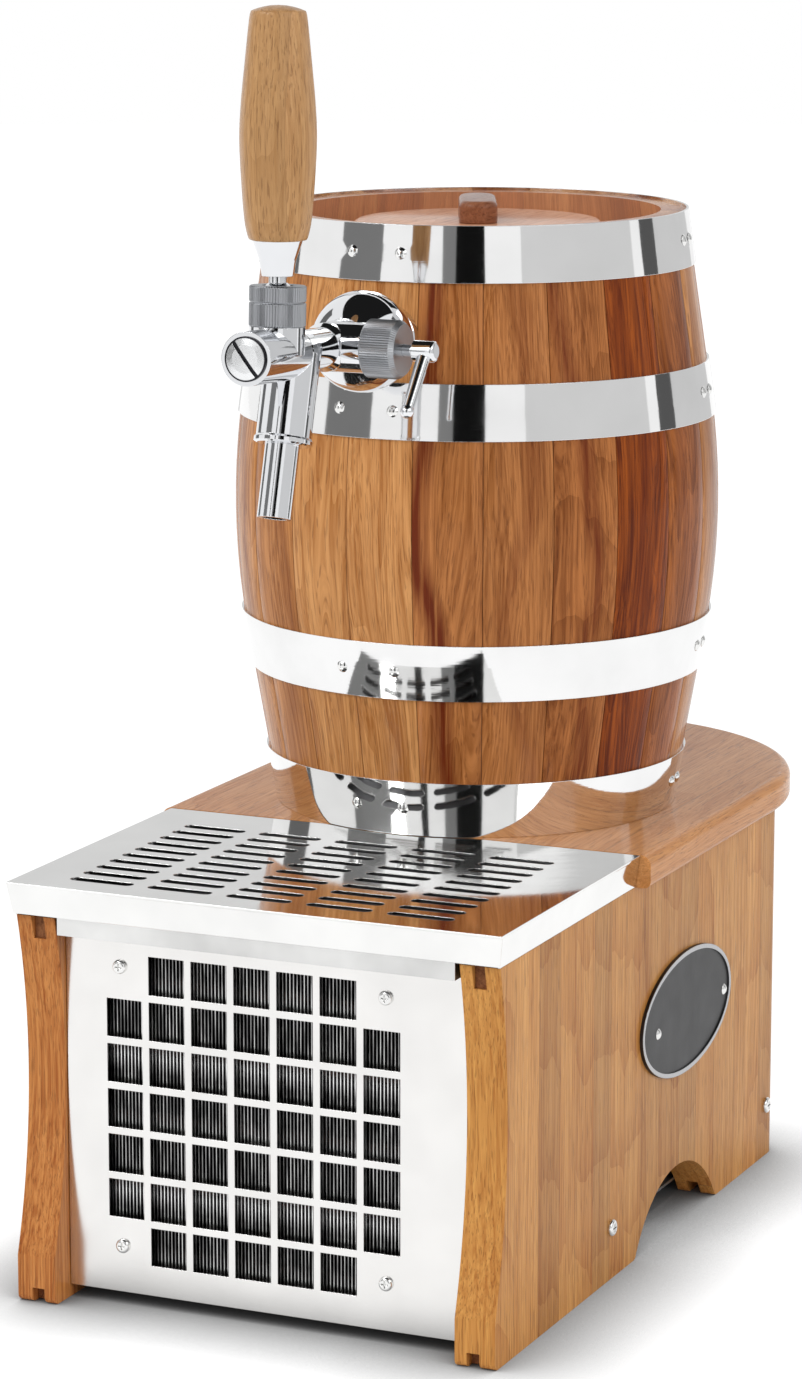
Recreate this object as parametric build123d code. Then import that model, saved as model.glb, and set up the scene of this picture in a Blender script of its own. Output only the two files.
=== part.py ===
from build123d import *
import math
import os

os.makedirs("parts", exist_ok=True)

# A counter-top draft beer dispenser: a wooden cabinet with a chiller in it, a drip tray in front,
# and a small wooden barrel on a board, which carries the tap. Millimetres, +Z up, front towards -Y.
# Depths are measured back from the front plane of the side panels.

# Cabinet
cabinet_half = 135.0
panel_thick = 22.0
panel_top = 206.5
rear_panel_depth = 405.0
panel_rear = rear_panel_depth + 14.0
pan_rear = rear_panel_depth - 1.0
panel_rear_round = 15.0
panel_front_top = 3.5
panel_front_waist = 13.5
panel_front_foot = -1.5
panel_waist_z = 118.0
panel_foot_z = 25.0
arch_centre = 253.5
arch_half = 62.0
arch_height = 35.0
groove_wide = 7.0
top_groove_deep = 12.5
foot_groove_deep = 8.0
sheet = 1.5
panel_inner = cabinet_half - panel_thick
groove_x = 123.0
floor_z = 8.0

# Board with a round back
board_thick = 18.0
board_radius = 143.75
board_centre = 382.5
board_front = 186.0
board_top = panel_top + board_thick

# Drip tray
tray_overhang = 2.0
tray_half = 137.9
tray_back = 185.5
tray_sheet = 1.2
lip_lean = 2.55
pan_half = 111.0
pan_front = 2.5
pan_back = 184.3
pan_floor = 198.0
pan_rim = board_top - 1.4
slot_columns = 5
slot_rows = 10
slot_long = 36.0
slot_wide = 7.0
slot_first_x = -111.5
slot_pitch_x = 44.7
slot_first_depth = 19.25
slot_pitch_depth = 14.5

# Front plate of the chiller
plate_depth = 15.0
plate_thick = 1.2
plate_half = 112.5
plate_low = 7.0
plate_high = 197.0
square = 20.37
square_pitch = 24.17
squares_across = 7
squares_x = -89.4
squares_z = 23.1

# Barrel
barrel_depth = 288.5
barrel_foot = board_top
barrel_high = 325.5
belly_radius = 132.6
belly_z = 391.0
belly_arc = 411.0
foot_taper = 9.93
head_taper = 8.47
stave_count = 22
stave_thick = 14.0
hoop_thick = 1.3
hoops = ((224.6, 254.7), (301.0, 331.7), (440.5, 470.0), (521.8, 551.3))
rivet_angles = (-11.0, 3.0, 94.0, 100.0)
head_thick = 14.0
top_head_z = 517.0
lid_radius = 67.5
lid_thick = 13.0
lid_opening = 60.0
lid_knob_turn = 24.0

# Tap
tap_reach = 122.5
tap_depth = barrel_depth - tap_reach
tap_z = 492.6
tap_tilt = 2.8
bulb_radius = 26.5
bulb_centre = 29.0
compensator_at = 66.0
pivot_depth = tap_depth - 129.5
pivot_z = 528.0
handle_tilt = 1.0
tail_drop = 17.0
spout_depth = tap_depth - 111.8
spout_z = 498.0
spout_tilt = 16.0

# Clearances
run_fit = 0.05
part_gap = 0.5

board_reach = board_centre + board_radius
front_y = (tray_overhang - board_reach) / 2


def at(depth):
    """The Y of a depth behind the front plane of the side panels."""
    return front_y + depth


def block(x0, x1, d0, d1, z0, z1):
    """A box between two X, two depths and two Z."""
    middle = ((x0 + x1) / 2, at((d0 + d1) / 2), (z0 + z1) / 2)
    return Pos(*middle) * Box(x1 - x0, d1 - d0, z1 - z0)


def rod_x(depth, z, x0, x1, r):
    """A cylinder along X."""
    return Pos((x0 + x1) / 2, at(depth), z) * Rot(0, 90, 0) * Cylinder(r, x1 - x0)


def rod_y(x, z, d0, d1, r):
    """A cylinder along Y."""
    return Pos(x, at((d0 + d1) / 2), z) * Rot(90, 0, 0) * Cylinder(r, d1 - d0)


def rod_z(x, depth, z0, z1, r):
    """A cylinder along Z."""
    return Pos(x, at(depth), (z0 + z1) / 2) * Cylinder(r, z1 - z0)


def turned(points):
    """A solid of revolution about Z from an outline of (radius, z) points."""
    face = make_face(Polyline(*[(r, 0, z) for r, z in points], close=True))
    return revolve(face, Axis.Z)


def tube(points, radius, bore=0):
    """A round tube along straight runs joined by tangent arcs, with its radii printed."""
    spots = [Vector(x, at(d), z) for x, d, z in points]
    radii = []
    for before, here, after in zip(spots, spots[1:], spots[2:]):
        turn = math.radians((here - before).get_angle(after - here))
        shorter = min((here - before).length, (after - here).length)
        radii.append(0.45 * shorter / math.tan(turn / 2))
    path = FilletPolyline(*spots, radius=radii)
    start = Plane(origin=spots[0], z_dir=spots[1] - spots[0])
    solid = sweep(start * Circle(radius), path=path)
    expected = math.pi * radius ** 2 * path.length
    print("tube radii", [round(r, 1) for r in radii], "volume ratio", round(solid.volume / expected, 4))
    if bore:
        solid -= sweep(start * Circle(bore), path=path)
    return solid


def pan_screw(length, head_radius=4.0, head_high=2.4, shank=2.0):
    """A cross-recessed pan-head screw along +Z, with the underside of its head at Z 0 and its shank below."""
    dome = Pos(0, 0, 0) * Cylinder(head_radius, head_high, align=(Align.CENTER, Align.CENTER, Align.MIN))
    dome = fillet(dome.edges().group_by(Axis.Z)[-1], head_high * 0.7)
    recess = Pos(0, 0, head_high - 0.6) * (Box(head_radius, 0.8, 1.6) + Box(0.8, head_radius, 1.6))
    pin = Pos(0, 0, 0) * Cylinder(shank, length, align=(Align.CENTER, Align.CENTER, Align.MAX))
    return dome - recess + pin


def save(name, *solids):
    """Write one node from its solids."""
    flat = []
    for solid in solids:
        flat.extend(solid.solids())
    shape = flat[0] if len(flat) == 1 else Compound(children=flat)
    shape.label = name
    export_step(shape, f"parts/{name}.step")


# Side panels: a concave front edge, an arch below, grooves in the top and bottom edges

def side_panel(side):
    """One wooden side panel, with its outside towards the given side."""
    top_front = (panel_front_top, panel_top)
    foot = (panel_front_foot, panel_foot_z)
    front = ThreePointArc(top_front, (panel_front_waist, panel_waist_z), foot)
    rest = Polyline(foot, (panel_front_foot, 0), (panel_rear, 0), (panel_rear, panel_top), top_front)
    outline = make_face(front + rest)
    arch_r = (arch_half ** 2 + arch_height ** 2) / (2 * arch_height)
    outline -= Pos(arch_centre, arch_height - arch_r) * Circle(arch_r)
    low = outline.vertices().group_by(Axis.Y)[0].sort_by(Axis.X)
    outline = fillet(low[:-1], 4.0)
    plane = Plane(origin=(side * panel_inner, at(0), 0), x_dir=(0, 1, 0), z_dir=(1, 0, 0))
    panel = extrude(plane * outline, side * panel_thick)
    rear_edge = panel.edges().filter_by(Axis.Z).sort_by(Axis.Y)[-2:]
    outer = rear_edge.sort_by(lambda edge: side * edge.center().X)[-1]
    panel = fillet(outer, panel_rear_round)
    x = side * groove_x
    for low_z, high_z in ((panel_top - top_groove_deep, 230), (-5, foot_groove_deep)):
        panel -= block(x - groove_wide / 2, x + groove_wide / 2, -10, panel_rear + 11, low_z, high_z)
    for depth, z in side_screw_spots:
        panel -= rod_x(depth, z, min(0, side * 140), max(0, side * 140), 2.1)
    return panel


side_screw_spots = ((155.6, 28.7), (rear_panel_depth - 7.0, 30.3))


def splines(z0, z1, stretches):
    """Strips that fill the grooves on both sides, set back from the front ends."""
    strips = []
    for side in (-1, 1):
        for d0, d1 in stretches:
            x = side * groove_x
            strips.append(block(x - 3.4, x + 3.4, d0, d1, z0, z1))
    return strips


def side_screws():
    """Chrome screws through the side panels into the tabs of the floor pan."""
    screws = []
    for side in (-1, 1):
        for depth, z in side_screw_spots:
            turn = Rot(0, 90 * side, 0)
            place = Pos(side * cabinet_half, at(depth), z)
            screws.append(place * turn * pan_screw(26.0, head_radius=4.6))
    return screws


flange_screw_x = 98.0
line_x = 50.0
line_depth = barrel_depth + 11.5
board_screw_spots = [(x, barrel_depth + d) for x in (-70.0, 70.0) for d in (-48.5, 48.5)]


def base_board():
    """The board on the cabinet, with a round back, on which the barrel stands."""
    plan = Rectangle(2 * board_radius, board_centre - board_front)
    plan = Pos(0, at((board_centre + board_front) / 2)) * plan
    plan += Pos(0, at(board_centre)) * Circle(board_radius)
    board = extrude(Pos(0, 0, panel_top) * plan, board_thick)
    tops = board.edges().group_by(Axis.Z)
    upper = [e for e in tops[-1] if e.center().Y > at(board_front) + 1]
    board = fillet(upper, 6.0)
    lower = [e for e in board.edges().group_by(Axis.Z)[0] if e.center().Y > at(board_front) + 1]
    board = fillet(lower, 4.0)
    board -= rod_z(line_x, line_depth, 200, 230, 7.0)
    for x, depth in board_screw_spots:
        board -= rod_z(x, depth, 200, 230, 2.6)
        board -= rod_z(x, depth, 200, panel_top + 4.0, 5.2)
    for side in (-1, 1):
        board -= rod_z(side * flange_screw_x, rear_panel_depth - 6, 200, panel_top + 5, 2.0)
    return board


def barrel_screws():
    """Screws from under the board into the lower head of the barrel."""
    turn = Rot(180, 0, 0)
    spots = board_screw_spots
    return [Pos(x, at(d), panel_top + 4.0) * turn * pan_screw(24.0, head_radius=4.4) for x, d in spots]


# Drip tray: a pan between the panels, under a slotted cover whose lips stand on the panel tops

cover_top = board_top - 0.2
lip_foot = panel_top + part_gap
flange_half = 118.5


def drip_pan():
    """The open folded pan, with a flange on each side that rests on a side panel."""
    pan = block(-pan_half, pan_half, pan_front, pan_back, pan_floor, pan_rim)
    t = tray_sheet
    pan -= block(-pan_half + t, pan_half - t, pan_front + t, pan_back - t, pan_floor + t, pan_rim + 5)
    for side in (-1, 1):
        x0, x1 = sorted((side * (pan_half - t / 2), side * flange_half))
        pan += block(x0, x1, 12.0, 176.0, panel_top, panel_top + t)
    return pan


def drip_cover():
    """The slotted cover, with a slanted lip in front and on both sides."""
    t = tray_sheet
    front = -tray_overhang
    cover = block(-tray_half, tray_half, front, tray_back, cover_top - t, cover_top)
    slot = Pos(0, 0, cover_top) * extrude(SlotOverall(slot_long, slot_wide), 3.0, both=True)
    for column in range(slot_columns):
        x = slot_first_x + slot_long / 2 + column * slot_pitch_x
        for row in range(slot_rows):
            cover -= Pos(x, at(slot_first_depth + row * slot_pitch_depth), 0) * slot
    lean = Polyline((tray_half, cover_top), (tray_half - lip_lean, lip_foot),
                    (tray_half - lip_lean - t, lip_foot), (tray_half - t, cover_top), close=True)
    side_plane = Plane(origin=(0, at(front + t + 0.3), 0), x_dir=(1, 0, 0), z_dir=(0, -1, 0))
    side_lip = extrude(side_plane * make_face(lean), front + t + 0.3 - tray_back)
    drop = Polyline((front, cover_top), (front + lip_lean, lip_foot + 0.7),
                    (front + lip_lean + t, lip_foot + 0.7), (front + t, cover_top), close=True)
    front_plane = Plane(origin=(0, at(0), 0), x_dir=(0, 1, 0), z_dir=(1, 0, 0))
    front_lip = extrude(front_plane * make_face(drop), tray_half, both=True)
    trim = Polyline((-tray_half, cover_top),
                    (-tray_half + lip_lean, lip_foot), (tray_half - lip_lean, lip_foot),
                    (tray_half, cover_top), close=True)
    trim_plane = Plane(origin=(0, at(-10), 0), x_dir=(1, 0, 0), z_dir=(0, -1, 0))
    front_lip &= extrude(trim_plane * make_face(trim), -30)
    behind_lip = Polyline((front + t + 0.3, cover_top), (front + t + lip_lean + 0.3, lip_foot),
                          (tray_back, lip_foot), (tray_back, cover_top), close=True)
    side_lip &= extrude(front_plane * make_face(behind_lip), 200, both=True)
    return cover + front_lip + side_lip + mirror(side_lip, Plane.YZ)


# Front plate: a polished sheet with a grid of square holes

plate_screw_spots = ((-81.4, 32.0), (68.2, 32.0), (-81.4, 181.6), (68.2, 181.6))


def front_plate():
    """The polished sheet, with all squares but the four at the corners of the grid."""
    plate = block(-plate_half, plate_half, plate_depth, plate_depth + plate_thick, plate_low, plate_high)
    last = squares_across - 1
    holes = []
    for column in range(squares_across):
        for row in range(squares_across):
            if column in (0, last) and row in (0, last):
                continue
            x = squares_x + column * square_pitch
            z = squares_z + row * square_pitch
            holes.append(block(x, x + square, plate_depth - 2, plate_depth + 4, z, z + square))
    plate -= holes
    for x, z in plate_screw_spots:
        plate -= rod_y(x, z, plate_depth - 2, plate_depth + 4, 2.1)
    return plate


def plate_screws():
    """Pan-head screws that hold the front plate to the tabs of the condenser frame."""
    turn = Rot(90, 0, 0)
    return [Pos(x, at(plate_depth), z) * turn * pan_screw(4.5, head_radius=3.8) for x, z in plate_screw_spots]


# Barrel: staves on straight tapers with a belly arc between them, hoops, heads and a lid

barrel_head = barrel_foot + barrel_high


def barrel_side(outset):
    """The outer edge of a stave from its foot to its head, pushed out by a little, as (line, arc, line)."""
    low = math.radians(foot_taper)
    high = math.radians(head_taper)
    top = belly_radius + outset
    low_end = (top - belly_arc * (1 - math.cos(low)), belly_z - belly_arc * math.sin(low))
    high_end = (top - belly_arc * (1 - math.cos(high)), belly_z + belly_arc * math.sin(high))
    foot = (low_end[0] - math.tan(low) * (low_end[1] - barrel_foot), barrel_foot)
    head = (high_end[0] - math.tan(high) * (barrel_head + 2 - high_end[1]), barrel_head + 2)
    return Line(foot, low_end), ThreePointArc(low_end, (top, belly_z), high_end), Line(high_end, head)


def barrel_section(outset):
    """The face between the barrel's axis and its side, in radius and height."""
    low, belly, high = barrel_side(outset)
    edges = low + belly + high
    edges += Polyline(high @ 1, (0, barrel_head + 2), (0, barrel_foot), low @ 0)
    return make_face(edges)


def band(outer, inner, z0, z1):
    """The face between two outsets of the barrel's side and two heights, set upright."""
    window = Pos(100, (z0 + z1) / 2) * Rectangle(200, z1 - z0)
    face = barrel_section(outer) & window
    if inner is not None:
        face -= barrel_section(inner)
    return Plane.XZ * face


def barrel_ring(outer, inner, z0, z1):
    """The solid of revolution of such a face about the barrel's axis."""
    return Pos(0, at(barrel_depth), 0) * revolve(band(outer, inner, z0, z1), Axis.Z)


tap_pose = Pos(0, at(tap_depth), tap_z) * Rot(-tap_tilt, 0, 0)
shank_radius = 8.0


def along_tap(l0, l1, r):
    """A cylinder on the tap's axis, between two distances out from the barrel."""
    return Pos(0, -(l0 + l1) / 2, 0) * Rot(90, 0, 0) * Cylinder(r, l1 - l0)


def barrel_staves():
    """All staves, side by side, with the hole for the tap's shank in the front one."""
    sweep_angle = 360 / stave_count
    profile = band(0, -stave_thick, barrel_foot, barrel_head)
    stave = revolve(profile, Axis.Z, revolution_arc=sweep_angle - 0.02)
    staves = []
    for index in range(stave_count):
        turn = -90 - sweep_angle / 2 + index * sweep_angle
        staves.append(Pos(0, at(barrel_depth), 0) * Rot(0, 0, turn) * stave)
    staves[0] -= tap_pose * along_tap(-25, 5, shank_radius + 0.2)
    return staves


def rivet_places(z0, z1):
    """Where the rivets of one hoop sit: square to its surface, at mid height."""
    z = (z0 + z1) / 2
    section = barrel_section(hoop_thick)
    low, radius, high = [(section & (Pos(100, spot) * Rectangle(200, 0.1))).bounding_box().max.X
                         for spot in (z - 5, z, z + 5)]
    lean = math.degrees(math.atan2(high - low, 10))
    for angle in rivet_angles:
        yield Pos(0, at(barrel_depth), z) * Rot(0, 0, angle - 90) * Pos(radius, 0, 0) * Rot(0, 90 + lean, 0)


def rivet(radius, high, pin):
    """A domed rivet head on the plane Z 0, with a pin below."""
    dome_radius = (radius ** 2 + high ** 2) / (2 * high)
    dome = Pos(0, 0, high - dome_radius) * Sphere(dome_radius)
    dome &= Pos(0, 0, 5) * Box(40, 40, 10)
    return dome + Pos(0, 0, -pin / 2) * Cylinder(radius * 0.45, pin + 0.2)


def hoop(z0, z1):
    """One hoop, round the staves, with holes for its rivets."""
    ring = barrel_ring(hoop_thick, 0, z0, z1)
    for place in rivet_places(z0, z1):
        ring -= place * Cylinder(1.5, 6)
    return ring


def hoop_rivets():
    """The rivets of all hoops."""
    pin = hoop_thick - 0.3
    return [place * rivet(3.2, 1.5, pin) for z0, z1 in hoops for place in rivet_places(z0, z1)]


def barrel_bottom_head():
    """The lower head, which stands on the board and holds the screws."""
    head = barrel_ring(-stave_thick, None, barrel_foot, barrel_foot + head_thick)
    head -= rod_z(line_x, line_depth, 200, 260, 7.0)
    for x, depth in board_screw_spots:
        head -= rod_z(x, depth, 200, panel_top + 4.0 + 24.5, 2.05)
    return head


def barrel_top_head():
    """The upper head, a ring round the opening for the lid."""
    head = barrel_ring(-stave_thick, None, top_head_z, top_head_z + head_thick)
    return head - rod_z(0, barrel_depth, 500, 560, lid_opening)


def barrel_lid():
    """The round lid with its plug, which lifts out of the upper head."""
    seat = top_head_z + head_thick
    disc = rod_z(0, barrel_depth, seat, seat + lid_thick, lid_radius)
    disc = fillet(disc.edges().group_by(Axis.Z)[-1], 3.0)
    return disc + rod_z(0, barrel_depth, seat - 11.0, seat, lid_opening - part_gap)


def lid_knob():
    """The wooden bar by which the lid is lifted."""
    low = top_head_z + head_thick + lid_thick
    bar = extrude(SlotOverall(60.0, 20.8), 12.0)
    bar = fillet(bar.edges().group_by(Axis.Z)[-1], 3.5)
    return Pos(0, at(barrel_depth), low) * Rot(0, 0, lid_knob_turn - 90) * bar


# Tap, in its own frame: the origin where its axis leaves the barrel, and -Y outwards

shank_bore = 4.0
body_end = 166.0
body_radius = 13.5
waist_radius = 10.5
sleeve = (95.0, 103.0)
sleeve_radius = 6.5 + run_fit
ball_radius = 8.0
socket_radius = 8.3
collar_radius = 14.25
stem_radius = 2.5
tail_radius = 2.3
pin_radius = 3.0
tilt = math.radians(tap_tilt)
pivot_out = (tap_depth - pivot_depth) * math.cos(tilt) + (pivot_z - tap_z) * math.sin(tilt)
pivot_up = (pivot_z - tap_z) * math.cos(tilt) - (tap_depth - pivot_depth) * math.sin(tilt)
tail_out = pivot_out - tail_drop * math.sin(math.radians(tap_tilt - handle_tilt))
handle_pose = Pos(0, at(pivot_depth), pivot_z) * Rot(-handle_tilt, 0, 0)
spout_pose = Pos(0, at(spout_depth), spout_z) * Rot(-spout_tilt, 0, 0)
boss_top = pivot_up - 5.0
boss_shoulder = pivot_up - 15.0
slot_top = pivot_up - 13.0


def tap_turned(points):
    """A solid of revolution about the tap's axis, from (radius, distance out) points."""
    return Rot(90, 0, 0) * turned(points)


def up_at(out, z0, z1, r):
    """A cylinder square to the tap's axis, upwards, at a distance out from the barrel."""
    return Pos(0, -out, (z0 + z1) / 2) * Cylinder(r, z1 - z0)


def aside_at(out, x0, x1, r):
    """A cylinder across the tap's axis, at a distance out from the barrel."""
    return Pos((x0 + x1) / 2, -out, 0) * Rot(0, 90, 0) * Cylinder(r, x1 - x0)


def tap_hull():
    """The outside of the tap's body, without its bores."""
    slab = Pos(0, -bulb_centre, 0) * Box(80, 46, 80)
    bulb = Pos(0, -bulb_centre, 0) * Sphere(bulb_radius) & slab
    hull = bulb + tap_turned([(0, 45), (12.5, 45), (12.5, 76), (waist_radius, 80), (waist_radius, 110),
                              (body_radius, 118), (body_radius, body_end), (0, body_end)])
    hull += aside_at(compensator_at, 0, 21, 13.0)
    hull += up_at(pivot_out, 0, boss_shoulder, collar_radius - 0.25)
    return hull + up_at(pivot_out, boss_shoulder, boss_top, 12.0)


def tap_body():
    """The body, bored for the flow, the compensator, the valve, the lever and the spout."""
    body = tap_hull()
    body -= along_tap(0, 14, shank_radius)
    body -= along_tap(14, 60, 11.0)
    body -= along_tap(60, sleeve[0], 8.0)
    body -= along_tap(sleeve[0], sleeve[1], sleeve_radius)
    body -= along_tap(sleeve[1], 158, 8.0)
    body -= along_tap(158, 170, 10.0)
    body -= aside_at(compensator_at, 0, 22, pin_radius + run_fit)
    body -= Pos(0, -pivot_out, (slot_top + 4) / 2) * Box(9.0, 23.0, slot_top - 4)
    throat = turned([(0, slot_top), (9.5, slot_top), (7.3, boss_top), (0, boss_top)])
    body -= Pos(0, -pivot_out, 0) * throat
    port = Pos(0, 0, -12) * Cylinder(7.0, 24)
    body = tap_pose * body
    return body - spout_pose * port


def tap_flange():
    """The round flange between the barrel and the body, its back shaped to the stave."""
    flange = tap_turned([(0, -3), (18, -3), (18, 2.5), (14.5, 6), (0, 6)])
    flange -= along_tap(-5, 8, shank_radius)
    return tap_pose * flange - barrel_ring(0, None, 470, 515)


def shank():
    """The threaded tube through the stave, which the body and the nut screw onto."""
    return tap_pose * (along_tap(-45, 14, shank_radius) - along_tap(-46, 15, shank_bore))


def shank_washer():
    """The washer inside the barrel, its front shaped to the stave."""
    washer = tap_pose * (along_tap(-18, -8, 15) - along_tap(-19, 0, shank_radius))
    return washer & barrel_ring(-stave_thick, None, 470, 515)


def shank_nut():
    """The hexagon nut on the shank, behind the washer."""
    nut = Pos(0, 18, 0) * Rot(90, 0, 0) * extrude(RegularPolygon(13.0, 6), -6.0)
    return tap_pose * (nut - along_tap(-26, -10, shank_radius))


def front_plug():
    """The slotted screw plug that closes the body's front end and guides the valve shaft."""
    plug = tap_turned([(0, 148), (6, 148), (6, 158), (10, 158), (10, body_end), (11.2, body_end),
                       (11.2, body_end + 1.0), (7, body_end + 1.8), (0, body_end + 2.0)])
    plug -= along_tap(147, 163, stem_radius + run_fit)
    slot = Pos(0, -body_end - 2, 0) * Rot(0, 52, 0) * Box(30, 2.4, 2.0)
    return tap_pose * (plug - slot)


def collar_nut():
    """The collar that screws onto the boss and holds the lever's ball from above."""
    low = boss_shoulder - pivot_up
    r = collar_radius
    collar = turned([(0, low), (r - 0.6, low), (r, low + 0.6), (r, -3.6), (r - 0.6, -3.0), (r, -2.4),
                     (r, 4.6), (r - 0.7, 5.3), (0, 5.3)])
    collar -= Pos(0, 0, low / 2 - 2.5) * Cylinder(12.0, -low - 5)
    collar -= Pos(0, 0, -2.5) * Cylinder(socket_radius, 5.2)
    collar -= Sphere(socket_radius)
    collar -= Pos(0, 0, 4) * Cylinder(7.7, 8)
    return tap_pose * Pos(0, -pivot_out, pivot_up) * collar


def valve_shaft():
    """The shaft along the body, with two prongs that take the tail of the lever."""
    shaft = along_tap(92, 159, stem_radius)
    for step in (-1, 1):
        out = tail_out + step * (tail_radius + 0.35 + 0.75)
        shaft += Pos(0, -out, 7.0) * Box(5.0, 1.5, 14.0)
    return tap_pose * shaft


def valve_seal():
    """The spool on the shaft that closes the sleeve in the body."""
    return tap_pose * (along_tap(sleeve[0] + 1, sleeve[1] - 1, 6.5) - along_tap(90, 110, stem_radius))


def compensator_cap():
    """The knurled cap on the side of the body, round the compensator shaft."""
    cap = Pos(21, -compensator_at, 0) * Rot(0, 90, 0) * turned(
        [(0, 0), (14.2, 0), (15, 0.8), (15, 16.5), (13, 19), (0, 19)])
    return tap_pose * (cap - aside_at(compensator_at, 15, 45, pin_radius + run_fit))


def compensator_shaft():
    """The shaft from the lever to the middle of the body."""
    return tap_pose * aside_at(compensator_at, -4, 54, pin_radius)


def compensator_lever():
    """The small lever at the side, hanging down and forward from its hub."""
    hub = aside_at(compensator_at, 46, 58, 5.5)
    hub = fillet(hub.edges().sort_by(Axis.X)[-1], 2.0)
    arm = Pos(0, 0, -18) * Cone(3.6, 3.0, 36, rotation=(180, 0, 0)) + Pos(0, 0, -36) * Sphere(3.6)
    hub += Pos(52, -compensator_at, 0) * Rot(-37, 0, 0) * arm
    return tap_pose * (hub - aside_at(compensator_at, 40, 54, pin_radius))


def compensator_cone():
    """The cone in the bulb that throttles the flow, with its stem."""
    return tap_pose * tap_turned([(0, 24), (3, 24), (8.5, 54), (2, 56), (2, compensator_at - 3.4),
                                  (0, compensator_at - 3.4)])


def lever():
    """The handle's lever: a ball in the collar, a neck above it and a tail below."""
    neck = Pos(0, 0, 20) * Cylinder(4.5, 40)
    tail = Pos(0, 0, -tail_drop / 2) * Cylinder(2.0, tail_drop) + Pos(0, 0, -tail_drop) * Sphere(tail_radius)
    return handle_pose * (Sphere(ball_radius) + neck + tail)


ferrule_top = 27.7
grip_long = 114.9
grip_points = ((13.0, 0.0), (15.0, 1.5), (17.2, 14.0), (19.25, 46.3), (18.6, 66.0), (16.9, 84.5),
               (14.6, 107.0), (13.6, 112.0))


def handle_ferrule():
    """The flared metal ferrule under the wooden grip."""
    return handle_pose * (turned([(0, 10), (8, 10), (9.2, 18), (12.6, ferrule_top), (0, ferrule_top)])
                          - Pos(0, 0, 20) * Cylinder(4.5, 30))


def handle_grip():
    """The turned wooden grip, bored for the neck of the lever."""
    spots = [(r, ferrule_top + h) for r, h in grip_points]
    side = Spline(*spots)
    edge, shoulder = spots[-1]
    top = ferrule_top + grip_long
    dome = (edge ** 2 + (top - shoulder) ** 2) / (2 * (top - shoulder))
    middle = (edge / 2, top - dome + math.sqrt(dome ** 2 - edge ** 2 / 4))
    crown = ThreePointArc(side @ 1, middle, (0, top))
    edges = side + crown + Polyline((0, top), (0, ferrule_top), side @ 0)
    grip = revolve(Plane.XZ * make_face(edges), Axis.Z)
    return handle_pose * (grip - Pos(0, 0, 30) * Cylinder(4.5, 20))


spout_lip = 46.8
spout_end = 84.1
nozzle_radius = 8.8
nozzle_bore = 6.0


def spout():
    """The upper part of the spout, its top shaped to the body."""
    cup = turned([(0, 0), (14, 0), (14, -43), (14.8, -44), (14.8, -46), (13.2, -spout_lip), (0, -spout_lip)])
    cup -= Pos(0, 0, -19) * Cylinder(9.0, 38)
    cup -= Pos(0, 0, -43) * Cylinder(7.4, 14)
    cup = spout_pose * cup
    return cup - tap_pose * tap_hull()


def spout_nozzle():
    """The narrow nozzle tube in the spout's lower end."""
    nozzle = turned([(nozzle_bore, -38), (7.4, -38), (7.4, -spout_lip), (nozzle_radius, -spout_lip),
                     (nozzle_radius, -spout_end), (nozzle_bore, -spout_end)])
    return spout_pose * nozzle


# Nameplate: a bare oval with a raised rim, on the right side panel

nameplate_depth = 263.0
nameplate_z = 120.6
nameplate_half = (68.0, 34.0)
nameplate_thick = 1.2
nameplate_rivets = ((220.0, 118.0), (322.0, 118.0))


def nameplate():
    """The oval plate with its raised rim."""
    half_long, half_high = nameplate_half
    plane = Plane(origin=(cabinet_half, at(nameplate_depth), nameplate_z), x_dir=(0, 1, 0), z_dir=(1, 0, 0))
    oval = extrude(plane * Ellipse(half_long, half_high), nameplate_thick)
    rim = Ellipse(half_long, half_high) - Ellipse(half_long - 2.5, half_high - 2.5)
    oval += extrude(plane * rim, nameplate_thick + 0.9)
    for depth, z in nameplate_rivets:
        oval -= rod_x(depth, z, 130, 140, 1.5)
    return oval


def plate_rivets():
    """The two domed rivets of the nameplate."""
    place = Pos(cabinet_half + nameplate_thick, at(0), 0)
    turn = Rot(0, 90, 0)
    return [place * Pos(0, depth, z) * turn * rivet(3.2, 1.5, nameplate_thick - 0.1)
            for depth, z in nameplate_rivets]


# Cabinet metalwork

pan_half_wide = 112.6
rear_screw_x = 80.0


def floor_pan():
    """The steel floor, with tabs for the side screws and a lip for the rear panel."""
    pan = block(-pan_half_wide, pan_half_wide, 18, pan_rear, floor_z, floor_z + sheet)
    pan += block(-100, 100, pan_rear - sheet, pan_rear, floor_z, floor_z + 14)
    for side in (-1, 1):
        for depth, z in side_screw_spots:
            x0, x1 = sorted((side * (pan_half_wide - sheet), side * pan_half_wide))
            pan += block(x0, x1, max(depth - 12, 18), min(depth + 12, pan_rear), floor_z, z + 7)
        x = side * rear_screw_x
        pan -= rod_y(x, floor_z + 8, pan_rear - 4, pan_rear + 6, 2.0)
        for depth, z in side_screw_spots:
            pan -= rod_x(depth, z, min(0, side * 140), max(0, side * 140), 2.1)
    return pan


inlet_x = 67.0
inlet_z = 60.0
controls_z = 170.0
thermostat_x = -75.0
power_x = -12.0
rocker_x = 45.0
vent_rows = 9


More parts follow.
